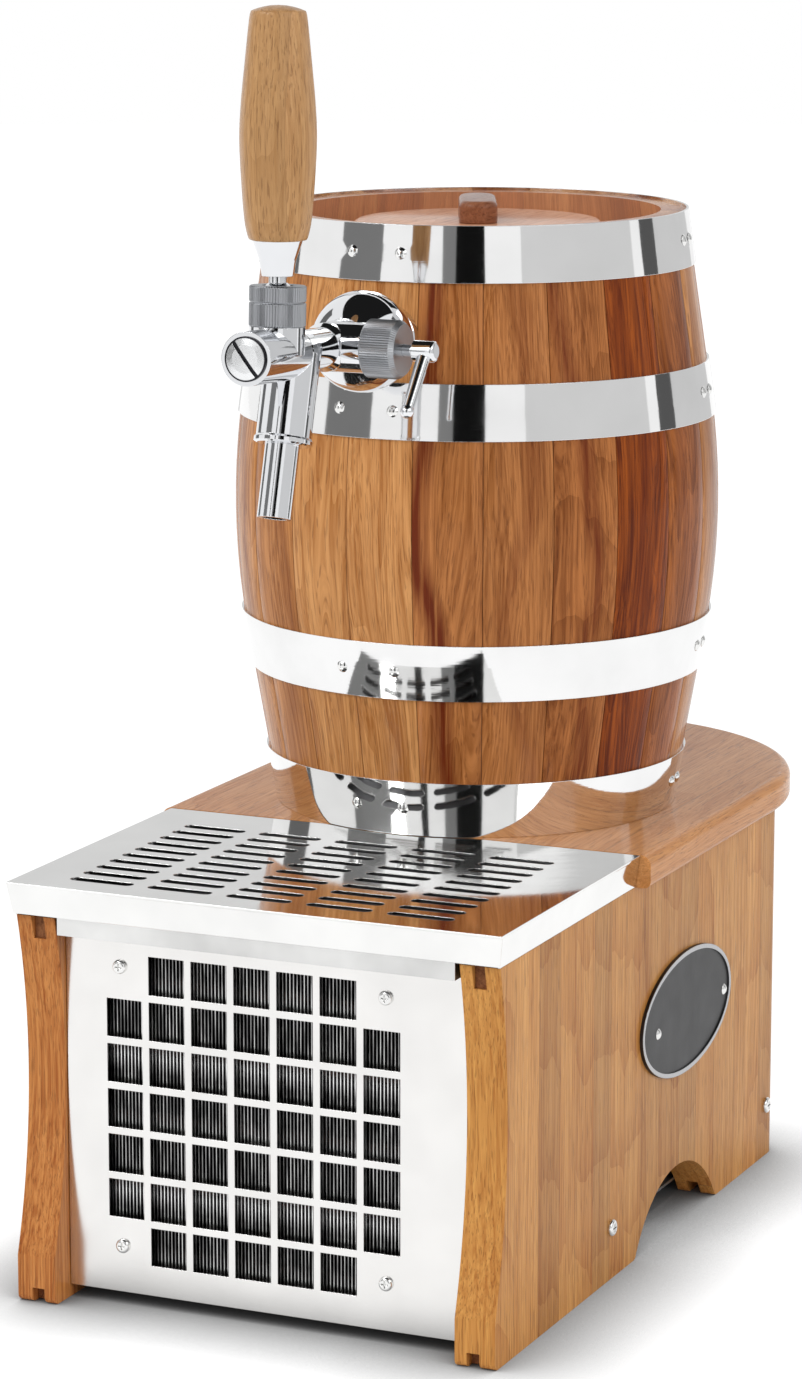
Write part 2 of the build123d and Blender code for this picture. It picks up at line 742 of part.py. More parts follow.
def rear_panel():
    """The rear sheet with its vents, its controls' openings and a flange under the board."""
    low, high = rear_panel_depth, rear_panel_depth + sheet
    panel = block(-pan_half_wide, pan_half_wide, low, high, floor_z, panel_top - 0.2)
    panel += block(-pan_half_wide, pan_half_wide, low - 12, high, panel_top - 0.2 - sheet, panel_top - 0.2)
    vent = Plane.XZ * SlotOverall(100.0, 4.5)
    for row in range(vent_rows):
        panel -= Pos(-44, at(low), 34 + row * 12) * extrude(vent, 5, both=True)
    panel -= rod_y(inlet_x, inlet_z, low - 5, high + 5, 11.0)
    panel -= rod_y(thermostat_x, controls_z, low - 5, high + 5, 4.0)
    panel -= block(power_x - 14, power_x + 14, low - 5, high + 5, controls_z - 10, controls_z + 10)
    panel -= block(rocker_x - 10, rocker_x + 10, low - 5, high + 5, controls_z - 7, controls_z + 7)
    for side in (-1, 1):
        x = side * rear_screw_x
        panel -= rod_y(x, floor_z + 8, low - 5, high + 5, 2.1)
        panel -= rod_z(side * flange_screw_x, low - 6, 190, 210, 2.1)
    return panel


def rear_screws():
    """Screws of the rear panel: two into the floor pan's lip and two up into the board."""
    screws = []
    for side in (-1, 1):
        back = Pos(side * rear_screw_x, at(rear_panel_depth + sheet), floor_z + 8) * Rot(-90, 0, 0)
        screws.append(back * pan_screw(4.5, head_radius=3.8))
        under = Pos(side * flange_screw_x, at(rear_panel_depth - 6), panel_top - 0.2 - sheet) * Rot(180, 0, 0)
        screws.append(under * pan_screw(4.5, head_radius=3.8))
    return screws


# Condenser, behind the front plate

frame_half = 111.0
frame_front = plate_depth + plate_thick
frame_back = 60.0
frame_sheet = 1.2
frame_floor = floor_z + sheet
frame_roof = 196.0
fin_count = 92
fin_thick = 0.5
fin_first = -98.0
fin_last = 85.0
fin_front = 20.0
fin_back = 56.0
header_x = (-104.0, 91.0)
header_depth = 38.0
header_over = 7.0
tube_radius = 4.0
tube_heights = (24.0, 60.5, 97.0, 133.5, 170.0)
line_radius = 3.0
discharge_z = 188.0
liquid_z = 30.0
fan_x = -5.0
fan_z = 100.0
shroud_opening = 70.0
motor_radius = 30.0
ring_depths = (100.0, 116.0)


def condenser_frame():
    """The sheet frame round the condenser, with four tabs for the front plate's screws."""
    t = frame_sheet
    frame = block(-frame_half, frame_half, frame_front, frame_back, frame_floor, frame_roof)
    frame -= block(-frame_half + t, frame_half - t, 0, 80, frame_floor + t, frame_roof - t)
    for x, z in plate_screw_spots:
        z0, z1 = (frame_floor, z + 8) if z < 100 else (z - 8, frame_roof)
        frame += block(x - 9, x + 9, frame_front, frame_front + t, z0, z1)
        frame -= rod_y(x, z, 10, 25, 2.0)
    return frame


def condenser_fins():
    """The upright fins, each with a hole for every tube."""
    fin_foot = frame_floor + frame_sheet + 0.3
    fin = block(-fin_thick / 2, fin_thick / 2, fin_front, fin_back, fin_foot, discharge_z)
    for z in tube_heights:
        fin -= rod_x(header_depth, z, -5, 5, tube_radius)
    step = (fin_last - fin_first) / (fin_count - 1)
    return [Pos(fin_first + index * step, 0, 0) * fin for index in range(fin_count)]


def condenser_tubes():
    """The tubes through the fins, between two upright headers."""
    low, high = tube_heights[0] - 8, tube_heights[-1] + header_over
    tubes = [rod_z(x, header_depth, low, high, tube_radius + 1) for x in header_x]
    tubes += [rod_x(header_depth, z, header_x[0], header_x[1], tube_radius) for z in tube_heights]
    return Part() + tubes


def fan_shroud():
    """The sheet behind the condenser, with the fan's opening and holes for the two lines."""
    shroud = block(-frame_half, frame_half, frame_back, frame_back + sheet, frame_floor, frame_roof)
    shroud -= rod_y(fan_x, fan_z, 50, 70, shroud_opening)
    shroud -= rod_y(header_x[0], discharge_z, 50, 70, line_radius + 0.5)
    return shroud - rod_y(header_x[1], liquid_z, 50, 70, line_radius + 0.5)


def fan_rotor():
    """The fan's hub, blades and shaft."""
    rotor = rod_y(fan_x, fan_z, 66, 82, 18) + rod_y(fan_x, fan_z, 82, 100, 3.0)
    blade = Pos(0, 0, 40) * Rot(0, 0, 35) * Box(24, 2, 48)
    for index in range(5):
        rotor += Pos(fan_x, at(74), fan_z) * Rot(0, index * 72, 0) * blade
    return rotor


def fan_motor():
    """The fan's motor."""
    motor = rod_y(fan_x, fan_z, 86, 130, motor_radius)
    motor = fillet(motor.edges().filter_by(GeomType.CIRCLE), 3.0)
    return motor - rod_y(fan_x, fan_z, 80, 102, 3.0 + run_fit)


def fan_bracket():
    """The bracket on the floor pan, with a ring that holds the motor."""
    low, high = ring_depths
    middle = (low + high) / 2
    ring = rod_y(fan_x, fan_z, low, high, motor_radius + 2)
    post = block(fan_x - 16, fan_x + 16, middle - 1, middle + 1, frame_floor, fan_z - 20)
    foot = block(fan_x - 24, fan_x + 24, low - 4, high + 4, frame_floor, frame_floor + 2)
    return ring + post + foot - rod_y(fan_x, fan_z, low - 10, high + 14, motor_radius)


# Compressor, cooling block and lines

compressor_x = -38.0
compressor_radius = 58.0
compressor_plate = 60.0
rear_room = 15.0
compressor_depth = rear_panel_depth - rear_room - compressor_plate
mount_high = 12.0
compressor_foot = frame_floor + mount_high
compressor_top = 150.0
port_x = -60.0
suction_z = 120.0
block_low = 20.0
block_high = 168.0
block_sides = (37.0, 97.0, compressor_depth - 65.0, compressor_depth + 35.0)
foam = 10.0
hose_radius = 4.75
drier = (110.0, 170.0)
shank_back = 45.0


def compressor():
    """The sealed compressor on its foot plate, with its two ports."""
    x, depth = compressor_x, compressor_depth
    can = rod_z(x, depth, compressor_foot, compressor_top, compressor_radius)
    can = fillet(can.edges().group_by(Axis.Z)[-1], 24.0)
    half = compressor_plate
    can += block(x - half, x + half, depth - half, depth + half, compressor_foot, compressor_foot + 2.5)
    can += rod_z(port_x, depth, compressor_top - 10, compressor_top + 2, line_radius + 2)
    side = x + compressor_radius
    return can + rod_x(depth, suction_z, side - 8, side + 4, line_radius + 2)


def compressor_mounts():
    """The four rubber mounts under the compressor's foot plate."""
    return [rod_z(compressor_x + dx, compressor_depth + dy, frame_floor, compressor_foot, 9.0)
            for dx in (-48, 48) for dy in (-48, 48)]


def cooling_block():
    """The aluminium block in which the beer is cooled."""
    return block(*block_sides, block_low, block_high)


def block_insulation():
    """The foam round the cooling block, with holes for the lines."""
    x0, x1, d0, d1 = block_sides
    foam_box = block(x0 - foam, x1 + foam, d0 - foam, d1 + foam, frame_floor, block_high + foam)
    foam_box -= cooling_block()
    foam_box -= rod_z(line_x, line_depth, block_high, 200, hose_radius + part_gap)
    foam_box -= rod_y(inlet_x, inlet_z, d1, d1 + 20, hose_radius + part_gap)
    foam_box -= rod_y(header_x[1], liquid_z, d0 - 20, d0, line_radius + part_gap)
    return foam_box - rod_x(compressor_depth, suction_z, x0 - 20, x0, line_radius + part_gap)


def filter_drier():
    """The filter drier in the line from the condenser."""
    can = rod_y(header_x[1], liquid_z, *drier, 9.0)
    return fillet(can.edges().filter_by(GeomType.CIRCLE), 4.0)


def refrigerant_lines():
    """The copper lines: to the condenser, from it to the block, and back to the compressor."""
    left, right = header_x
    side = compressor_x + compressor_radius + 4
    discharge = tube([(port_x, compressor_depth, compressor_top + 2), (port_x, compressor_depth, discharge_z),
                      (left, 230, discharge_z), (left, header_depth, discharge_z),
                      (left, header_depth, tube_heights[-1] + header_over)], line_radius)
    return [discharge,
            rod_y(right, liquid_z, header_depth + tube_radius + 1, drier[0], line_radius),
            rod_y(right, liquid_z, drier[1], block_sides[2], line_radius),
            rod_x(compressor_depth, suction_z, side, block_sides[0], line_radius)]


def beer_lines():
    """The beer's hoses: from the inlet to the block, and from the block up to the tap's shank."""
    back = Vector(0, shank_back * math.cos(tilt), -shank_back * math.sin(tilt))
    end = (0, tap_depth + back.Y, tap_z + back.Z)
    bend = barrel_depth - 38.5
    before = (0, bend, end[2] - (bend - end[1]) * math.tan(tilt))
    rise = tube([(line_x, line_depth, block_high), (line_x, line_depth, 440), (44, line_depth - 4, 470),
                 (24, line_depth - 24, 488.5), before, end], hose_radius)
    return [rise, rod_y(inlet_x, inlet_z, block_sides[3], inlet_front, hose_radius)]


# Rear fittings

inlet_front = rear_panel_depth - 17.0
inlet_back = rear_panel_depth + 9.0
fitting_front = rear_panel_depth - 21.0
fitting_floor = rear_panel_depth - 15.0
inlet_bore = 4.8


def beer_inlet():
    """The push-fit inlet for the beer hose, open to the rear."""
    low = rear_panel_depth
    inlet = rod_y(inlet_x, inlet_z, inlet_front, low + sheet, 11.0)
    inlet += rod_y(inlet_x, inlet_z, low + sheet, inlet_back, 13.0)
    inlet -= rod_y(inlet_x, inlet_z, inlet_front + 5, inlet_back + 1, inlet_bore)
    return inlet - rod_y(inlet_x, inlet_z, inlet_front - 1, inlet_front + 6, line_radius)


def thermostat_body():
    """The thermostat behind the rear panel, bored for the knob's shaft."""
    back = rear_panel_depth
    box = block(thermostat_x - 18, thermostat_x + 18, back - 25, back, controls_z - 14, controls_z + 14)
    return box - rod_y(thermostat_x, controls_z, fitting_floor, back + 5, pin_radius + run_fit)


def thermostat_knob():
    """The thermostat's knob with its shaft and a raised pointer."""
    back = rear_panel_depth + sheet
    knob = rod_y(thermostat_x, controls_z, back + 0.5, back + 12, 12.0)
    knob = fillet(knob.edges().sort_by(Axis.Y)[-1], 2.0)
    knob += block(thermostat_x - 1, thermostat_x + 1, back + 10, back + 13, controls_z, controls_z + 9.5)
    return knob + rod_y(thermostat_x, controls_z, fitting_floor + 1, back + 2, pin_radius)


def rocker_frame():
    """The power switch's frame in the rear panel."""
    back = rear_panel_depth + sheet
    x, z = rocker_x, controls_z
    frame = block(x - 10, x + 10, fitting_front, back, z - 7, z + 7)
    frame += block(x - 12, x + 12, back, back + 2, z - 9, z + 9)
    return frame - block(x - 8, x + 8, fitting_floor, back + 5, z - 5.4, z + 5.4)


def rocker():
    """The power switch's rocker, with its pivot pin along Z."""
    depth = rear_panel_depth
    bar = rod_z(rocker_x, depth, controls_z - 5.0, controls_z + 5.0, 4.5)
    bar += block(rocker_x - 7.2, rocker_x + 7.2, depth, depth + 4.2, controls_z - 5.0, controls_z + 5.0)
    return bar


def power_inlet():
    """The appliance inlet in the rear panel, with its three pins."""
    back = rear_panel_depth + sheet
    x, z = power_x, controls_z
    body = block(x - 14, x + 14, fitting_front, back, z - 10, z + 10)
    body += block(x - 16, x + 16, back, back + 2, z - 12, z + 12)
    body -= block(x - 12, x + 12, fitting_floor, back + 5, z - 8, z + 8)
    for dx, dz in ((-7, -2), (0, 2), (7, -2)):
        body += block(x + dx - 1, x + dx + 1, fitting_floor - 1, back - 2, z + dz - 2, z + dz + 2)
    return body


save("tap_body", tap_body())
save("tap_flange", tap_flange())
save("shank", shank())
save("shank_washer", shank_washer())
save("shank_nut", shank_nut())
save("front_plug", front_plug())
save("collar_nut", collar_nut())
save("valve_shaft", valve_shaft())
save("valve_seal", valve_seal())
save("compensator_cap", compensator_cap())
save("compensator_shaft", compensator_shaft())
save("compensator_lever", compensator_lever())
save("compensator_cone", compensator_cone())
save("lever", lever())
save("handle_ferrule", handle_ferrule())
save("handle_grip", handle_grip())
save("spout", spout())
save("spout_nozzle", spout_nozzle())
save("drip_pan", drip_pan())
save("drip_cover", drip_cover())
save("front_plate", front_plate())
save("sheet_screws", *plate_screws(), *rear_screws())
save("barrel_staves", *barrel_staves())
save("barrel_hoops", *[hoop(low, high) for low, high in hoops])
save("dome_rivets", *hoop_rivets(), *plate_rivets())
save("barrel_bottom_head", barrel_bottom_head())
save("barrel_top_head", barrel_top_head())
save("barrel_lid", barrel_lid())
save("lid_knob", lid_knob())
save("side_panel_left", side_panel(-1))
save("side_panel_right", side_panel(1))
save("top_splines", *splines(panel_top - top_groove_deep, panel_top - 1.0, [(8.0, panel_rear - 9.0)]))
save("foot_strips", *splines(part_gap, foot_groove_deep, [(5.0, 178.0), (329.0, rear_panel_depth)]))
save("side_screws", *side_screws())
save("base_board", base_board())
save("barrel_screws", *barrel_screws())
save("nameplate", nameplate())
save("floor_pan", floor_pan())
save("rear_panel", rear_panel())
save("condenser_frame", condenser_frame())
save("condenser_fins", *condenser_fins())
save("condenser_tubes", condenser_tubes())
save("fan_shroud", fan_shroud())
save("fan_rotor", fan_rotor())
save("fan_motor", fan_motor())
save("fan_bracket", fan_bracket())
save("compressor", compressor())
save("compressor_mounts", *compressor_mounts())
save("cooling_block", cooling_block())
save("block_insulation", block_insulation())
save("filter_drier", filter_drier())
save("refrigerant_lines", *refrigerant_lines())
save("beer_lines", *beer_lines())
save("beer_inlet", beer_inlet())
save("thermostat_body", thermostat_body())
save("thermostat_knob", thermostat_knob())
save("rocker_frame", rocker_frame())
save("rocker", rocker())
save("power_inlet", power_inlet())
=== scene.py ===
import math

import bmesh
import bpy
from mathutils import Matrix, Vector


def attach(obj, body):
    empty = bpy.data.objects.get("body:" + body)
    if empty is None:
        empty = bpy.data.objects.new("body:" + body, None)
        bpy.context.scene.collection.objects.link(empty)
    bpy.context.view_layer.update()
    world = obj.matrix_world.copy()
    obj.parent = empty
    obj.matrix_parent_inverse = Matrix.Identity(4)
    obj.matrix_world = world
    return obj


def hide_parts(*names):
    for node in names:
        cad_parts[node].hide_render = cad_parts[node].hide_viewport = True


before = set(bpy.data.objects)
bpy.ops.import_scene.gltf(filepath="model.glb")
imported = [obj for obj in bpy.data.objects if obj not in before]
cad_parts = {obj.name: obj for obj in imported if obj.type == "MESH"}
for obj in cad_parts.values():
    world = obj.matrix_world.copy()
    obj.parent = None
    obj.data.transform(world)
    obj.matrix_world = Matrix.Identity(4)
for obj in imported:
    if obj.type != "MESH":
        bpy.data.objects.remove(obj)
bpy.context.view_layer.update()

# Camera: it stands to the front right of the dispenser and a little above it, far enough away
# for a long lens. Its place and lens are those of the photograph.
camera_place = Vector((0.9742, -2.2593, 0.7816))
camera_back = Vector((0.39951, -0.89537, 0.19675)).normalized()
camera_lens, sensor_width = 119.18, 36.0

camera_data = bpy.data.cameras.new("camera")
camera_data.lens = camera_lens
camera_data.sensor_width = sensor_width
camera = bpy.data.objects.new("camera", camera_data)
bpy.context.scene.collection.objects.link(camera)
camera_right = Vector((0, 0, 1)).cross(camera_back).normalized()
camera_up = camera_back.cross(camera_right)
camera_turn = Matrix((camera_right, camera_up, camera_back)).transposed().to_4x4()
camera.matrix_world = Matrix.Translation(camera_place) @ camera_turn
bpy.context.scene.camera = camera


# Studio: a pale floor, a white surround, soft lamps, and grey and black flags that stand round
# the dispenser, out of the picture, and give its polished metal its dark bands.
def shader_tree(owner):
    """Node tree of a material or the world, emptied."""
    owner.use_nodes = True
    owner.node_tree.nodes.clear()
    return owner.node_tree


def set_input(tree, socket, value):
    """Link or constant for one input."""
    if isinstance(value, bpy.types.NodeSocket):
        tree.links.new(value, socket)
    else:
        socket.default_value = value


def add(tree, kind, values=None, **settings):
    """New node, with values for its inputs by name or number and its settings."""
    node = tree.nodes.new(kind)
    for name, value in settings.items():
        setattr(node, name, value)
    for key, value in (values or {}).items():
        set_input(tree, node.inputs[key], value)
    return node


def sums(tree, operation, first, second=0.0, clamp=False):
    """Result of a sum on two numbers."""
    return add(tree, "ShaderNodeMath", {0: first, 1: second}, operation=operation, use_clamp=clamp).outputs[0]


def seen_directly(tree):
    """1 for rays from the camera, from polished metal and through glass."""
    rays = add(tree, "ShaderNodeLightPath").outputs
    either = sums(tree, "MAXIMUM", rays["Is Camera Ray"], rays["Is Glossy Ray"])
    return sums(tree, "MAXIMUM", either, rays["Is Transmission Ray"])


surround_strength = 0.62
bpy.context.scene.view_settings.view_transform = "Standard"
world = bpy.data.worlds.new("surround")
bpy.context.scene.world = world
tree = shader_tree(world)
light, white = [add(tree, "ShaderNodeBackground", {"Color": (1, 1, 1, 1), "Strength": strength}).outputs[0]
                for strength in (surround_strength, 1.0)]
choice = add(tree, "ShaderNodeMixShader", {0: seen_directly(tree), 1: light, 2: white})
add(tree, "ShaderNodeOutputWorld", {"Surface": choice.outputs[0]})

floor_radius = 8.0
floor_tint = (0.86, 0.86, 0.86, 1)
floor_glow = 1.16
glow_share = 0.88
# Reach and power of the painted shadow that darkens the floor's glow near the dispenser.
painted_shadow_reach, painted_shadow_power = 0.07, 2.0
floor_mesh = bpy.data.meshes.new("studio_floor")
bm = bmesh.new()
bmesh.ops.create_circle(bm, cap_ends=True, segments=64, radius=floor_radius)
bm.to_mesh(floor_mesh)
bm.free()
studio_floor = bpy.data.objects.new("studio_floor", floor_mesh)
bpy.context.scene.collection.objects.link(studio_floor)
floor_material = bpy.data.materials.new("studio_floor")
tree = shader_tree(floor_material)
paint = add(tree, "ShaderNodeBsdfDiffuse", {"Color": floor_tint})
# Painted shadow: ambient occlusion darkens the floor's glow under and around the dispenser.
glow_left_by_painted_shadow = add(tree, "ShaderNodeAmbientOcclusion", {"Distance": painted_shadow_reach}, samples=8).outputs["AO"]
glow_left_by_painted_shadow = sums(tree, "POWER", glow_left_by_painted_shadow, painted_shadow_power)
glow = add(tree, "ShaderNodeEmission", {"Color": glow_left_by_painted_shadow, "Strength": floor_glow})
share = sums(tree, "MULTIPLY", seen_directly(tree), glow_share)
both = add(tree, "ShaderNodeMixShader", {0: share, 1: paint.outputs[0], 2: glow.outputs[0]})
add(tree, "ShaderNodeOutputMaterial", {"Surface": both.outputs[0]})
studio_floor.data.materials.append(floor_material)


def seen_in_metal(name, bm, shade):
    """Card from a bmesh that is seen only in polished metal."""
    mesh = bpy.data.meshes.new(name)
    bm.to_mesh(mesh)
    bm.free()
    card = bpy.data.objects.new(name, mesh)
    bpy.context.scene.collection.objects.link(card)
    material = bpy.data.materials.new(name)
    tree = shader_tree(material)
    tone = add(tree, "ShaderNodeEmission", {"Color": (shade, shade, shade, 1), "Strength": 1.0})
    add(tree, "ShaderNodeOutputMaterial", {"Surface": tone.outputs[0]})
    mesh.materials.append(material)
    card.visible_camera = False
    card.visible_diffuse = False
    card.visible_shadow = False
    card.visible_transmission = False


flag_distance, flag_foot, flag_high, flag_steps = 3.2, -0.5, 3.5, 8


def flag(name, low_angle, high_angle, shade):
    """Upright curved card between two angles to the right of the camera."""
    ahead = math.atan2(camera_back.y, camera_back.x)
    bm = bmesh.new()
    rows = []
    for step in range(flag_steps + 1):
        angle = ahead + math.radians(low_angle + (high_angle - low_angle) * step / flag_steps)
        foot = Vector((flag_distance * math.cos(angle), flag_distance * math.sin(angle), flag_foot))
        rows.append((bm.verts.new(foot), bm.verts.new(foot + Vector((0, 0, flag_high)))))
    for (a, b), (c, d) in zip(rows, rows[1:]):
        bm.faces.new((a, c, d, b))
    seen_in_metal(name, bm, shade)


for label, low_angle, high_angle, shade in (("black", -12, 3, 0.006), ("grey", -19, -12, 0.22),
                                            ("line", -33, -29, 0.03), ("left", -77, -52, 0.2),
                                            ("pale", 22, 88, 0.70), ("right", 95, 107, 0.10),
                                            ("edge", 107, 150, 0.66), ("far", 168, 196, 0.72),
                                            ("far_left", -130, -108, 0.15)):
    flag(f"flag_{label}", low_angle, high_angle, shade)

ceiling_size, ceiling_place, ceiling_shade = (1.5, 2.1, 1), (0.2, 0.0, 2.6), 0.012
ceiling = bmesh.new()
bmesh.ops.create_grid(ceiling, x_segments=1, y_segments=1, size=1.0)
bmesh.ops.scale(ceiling, vec=ceiling_size, verts=ceiling.verts)
bmesh.ops.translate(ceiling, vec=ceiling_place, verts=ceiling.verts)
seen_in_metal("ceiling_flag", ceiling, ceiling_shade)


def lamp(name, place, target, size, power):
    """Square soft lamp that shines at a point."""
    data = bpy.data.lights.new(name, "AREA")
    data.shape = "SQUARE"
    data.size = size
    data.energy = power
    lit = bpy.data.objects.new(name, data)
    bpy.context.scene.collection.objects.link(lit)
    lit.location = place
    lit.rotation_euler = (Vector(target) - Vector(place)).to_track_quat("-Z", "Y").to_euler()


lit_point = (0, 0, 0.3)
lamp("key_lamp", (-1.6, -2.4, 2.6), lit_point, 1.6, 46)
lamp("fill_lamp", (2.8, -1.2, 1.8), lit_point, 2.0, 26)


# Side panels: glued up from narrow upright boards of oak, with a concave front end, a groove along
# the top and bottom edges and an arch to lift them by. Their edges are eased and they are varnished.
def new_group(name, inputs, outputs):
    """Shader node group with its input and output sockets, as (tree, group input, group output)."""
    group = bpy.data.node_groups.new(name, "ShaderNodeTree")
    for label, kind in inputs:
        group.interface.new_socket(label, in_out="INPUT", socket_type=kind)
    for label, kind in outputs:
        group.interface.new_socket(label, in_out="OUTPUT", socket_type=kind)
    return group, group.nodes.new("NodeGroupInput").outputs, group.nodes.new("NodeGroupOutput").inputs


def blended(tree, share, first, second, blend="MIX"):
    """Mix of two colours."""
    node = add(tree, "ShaderNodeMix", data_type="RGBA", blend_type=blend)
    set_input(tree, node.inputs[0], share)
    set_input(tree, node.inputs[6], first)
    set_input(tree, node.inputs[7], second)
    return node.outputs[2]


def times(tree, vector, factors):
    """Vector multiplied by three factors."""
    return add(tree, "ShaderNodeVectorMath", {0: vector, 1: factors}, operation="MULTIPLY").outputs[0]


def spread(tree, value, low, high):
    """Value from low to high mapped to 0 to 1, and clamped."""
    return add(tree, "ShaderNodeMapRange", {0: value, 1: low, 2: high}).outputs[0]


def noise(tree, vector, factors, detail=2.0):
    """Noise over a vector that is stretched by three factors, from about 0.2 to 0.8."""
    return add(tree, "ShaderNodeTexNoise", {"Vector": times(tree, vector, factors), "Scale": 1.0,
                                            "Detail": detail}).outputs["Fac"]


def seeded(tree, seed, factor, low, high):
    """Number between low and high that depends on the seed."""
    share = sums(tree, "FRACT", sums(tree, "MULTIPLY", seed, factor))
    return sums(tree, "ADD", sums(tree, "MULTIPLY", share, high - low), low)


def totalled(tree, *terms):
    """Sum of several numbers, added from first to last."""
    total = terms[0]
    for term in terms[1:]:
        total = sums(tree, "ADD", total, term)
    return total


heart_offset, heart_tilt, heart_nearest, heart_furthest = 0.012, 0.12, 0.02, 0.07
ring_share, fibre_share, drift_share, pore_share = 0.24, 0.55, 0.42, 0.35
middle_depth, middle_tone = 0.55, 0.45
pale_rough, added_rough = 0.36, 0.14
pore_colour = (0.16, 0.07, 0.025, 1)


def timber_group():
    """Shader node group of sawn timber. Rings about the heart of the tree, fibres, pores and a slow drift
    darken it, and a swirl bends them. Plank coordinates are in metres, and each seed is another plank."""
    tree, given, result = new_group(
        "timber",
        [("Across", "NodeSocketFloat"), ("Through", "NodeSocketFloat"), ("Along", "NodeSocketFloat"),
         ("Seed", "NodeSocketFloat"), ("Pale", "NodeSocketColor"), ("Dark", "NodeSocketColor"),
         ("Rings", "NodeSocketFloat"), ("Figure", "NodeSocketFloat"), ("Contrast", "NodeSocketFloat")],
        [("Color", "NodeSocketColor"), ("Roughness", "NodeSocketFloat"), ("Height", "NodeSocketFloat")])
    seed = given["Seed"]
    shifted = [sums(tree, "ADD", given[label], seeded(tree, seed, factor, 0.0, 5.0))
               for label, factor in (("Across", 9.7), ("Through", 5.1), ("Along", 3.3))]
    place = add(tree, "ShaderNodeCombineXYZ", dict(enumerate(shifted))).outputs[0]
    swirl = add(tree, "ShaderNodeTexNoise", {"Vector": times(tree, place, (22, 22, 3.2)), "Scale": 1.0,
                                             "Detail": 2.5}).outputs["Color"]
    swirl = add(tree, "ShaderNodeVectorMath", {0: swirl, 1: (0.5, 0.5, 0.5)}, operation="SUBTRACT").outputs[0]
    swirl = add(tree, "ShaderNodeVectorMath", {0: swirl, "Scale": given["Figure"]},
                operation="SCALE").outputs[0]
    bent = add(tree, "ShaderNodeSeparateXYZ", {0: swirl}).outputs
    off_centre = totalled(tree, given["Across"], seeded(tree, seed, 13.7, -heart_offset, heart_offset),
                          bent[0])
    lean = sums(tree, "MULTIPLY", sums(tree, "ADD", given["Along"], -0.2),
                seeded(tree, seed, 31.1, -heart_tilt, heart_tilt))
    under = totalled(tree, lean, seeded(tree, seed, 17.3, heart_nearest, heart_furthest), bent[1],
                     given["Through"])
    heart = add(tree, "ShaderNodeCombineXYZ", {0: off_centre, 1: under, 2: 0.0}).outputs[0]
    rings = add(tree, "ShaderNodeTexWave", {"Vector": heart, "Scale": given["Rings"], "Distortion": 1.2,
                                            "Detail": 2.0, "Detail Scale": 1.0},
                wave_type="RINGS", rings_direction="Z", wave_profile="SAW").outputs["Fac"]
    place = add(tree, "ShaderNodeVectorMath", {0: place, 1: swirl}, operation="ADD").outputs[0]
    fibres = noise(tree, place, (700, 700, 10), 4.0)
    pores = spread(tree, noise(tree, place, (1500, 1500, 55), 1.0), 0.60, 0.68)
    drift = noise(tree, place, (48, 48, 4), 2.0)
    depth = totalled(tree, sums(tree, "MULTIPLY", sums(tree, "POWER", rings, 2.5), ring_share),
                     sums(tree, "MULTIPLY", spread(tree, fibres, 0.32, 0.68), fibre_share),
                     sums(tree, "MULTIPLY", spread(tree, drift, 0.3, 0.7), drift_share))
    depth = sums(tree, "MULTIPLY", sums(tree, "SUBTRACT", depth, middle_depth), given["Contrast"])
    depth = sums(tree, "ADD", depth, middle_tone, clamp=True)
    colour = blended(tree, depth, given["Pale"], given["Dark"])
    colour = blended(tree, sums(tree, "MULTIPLY", pores, pore_share), colour, pore_colour, "MULTIPLY")
    tree.links.new(colour, result["Color"])
    rough = sums(tree, "ADD", sums(tree, "MULTIPLY", depth, added_rough), pale_rough)
    tree.links.new(rough, result["Roughness"])
    tree.links.new(sums(tree, "SUBTRACT", fibres, pores), result["Height"])
    return tree


timber_grain = timber_group()
varnish_rough, varnish_ior = 0.12, 1.22


def finish(tree, colour, roughness, height, bump=0.0003, metallic=0.0, coat=0.0, edge=0.0, specular=0.5):
    """Principled shader and output of a material, with relief from a height. edge is the radius at which
    edges look rounded."""
    shader = add(tree, "ShaderNodeBsdfPrincipled", {"Base Color": colour, "Roughness": roughness,
                                                    "Metallic": metallic, "Coat Weight": coat,
                                                    "Coat Roughness": varnish_rough, "Coat IOR": varnish_ior,
                                                    "Specular IOR Level": specular})
    relief = add(tree, "ShaderNodeBump", {"Height": height, "Distance": bump, "Strength": 0.6})
    if edge:
        rounded = add(tree, "ShaderNodeBevel", {"Radius": edge}, samples=4).outputs[0]
        tree.links.new(rounded, relief.inputs["Normal"])
    tree.links.new(relief.outputs[0], shader.inputs["Normal"])
    add(tree, "ShaderNodeOutputMaterial", {"Surface": shader.outputs[0]})


glue_line_share, glue_line_colour = 0.3, (0.2, 0.1, 0.04, 1)
one_plank_seed = 0.37


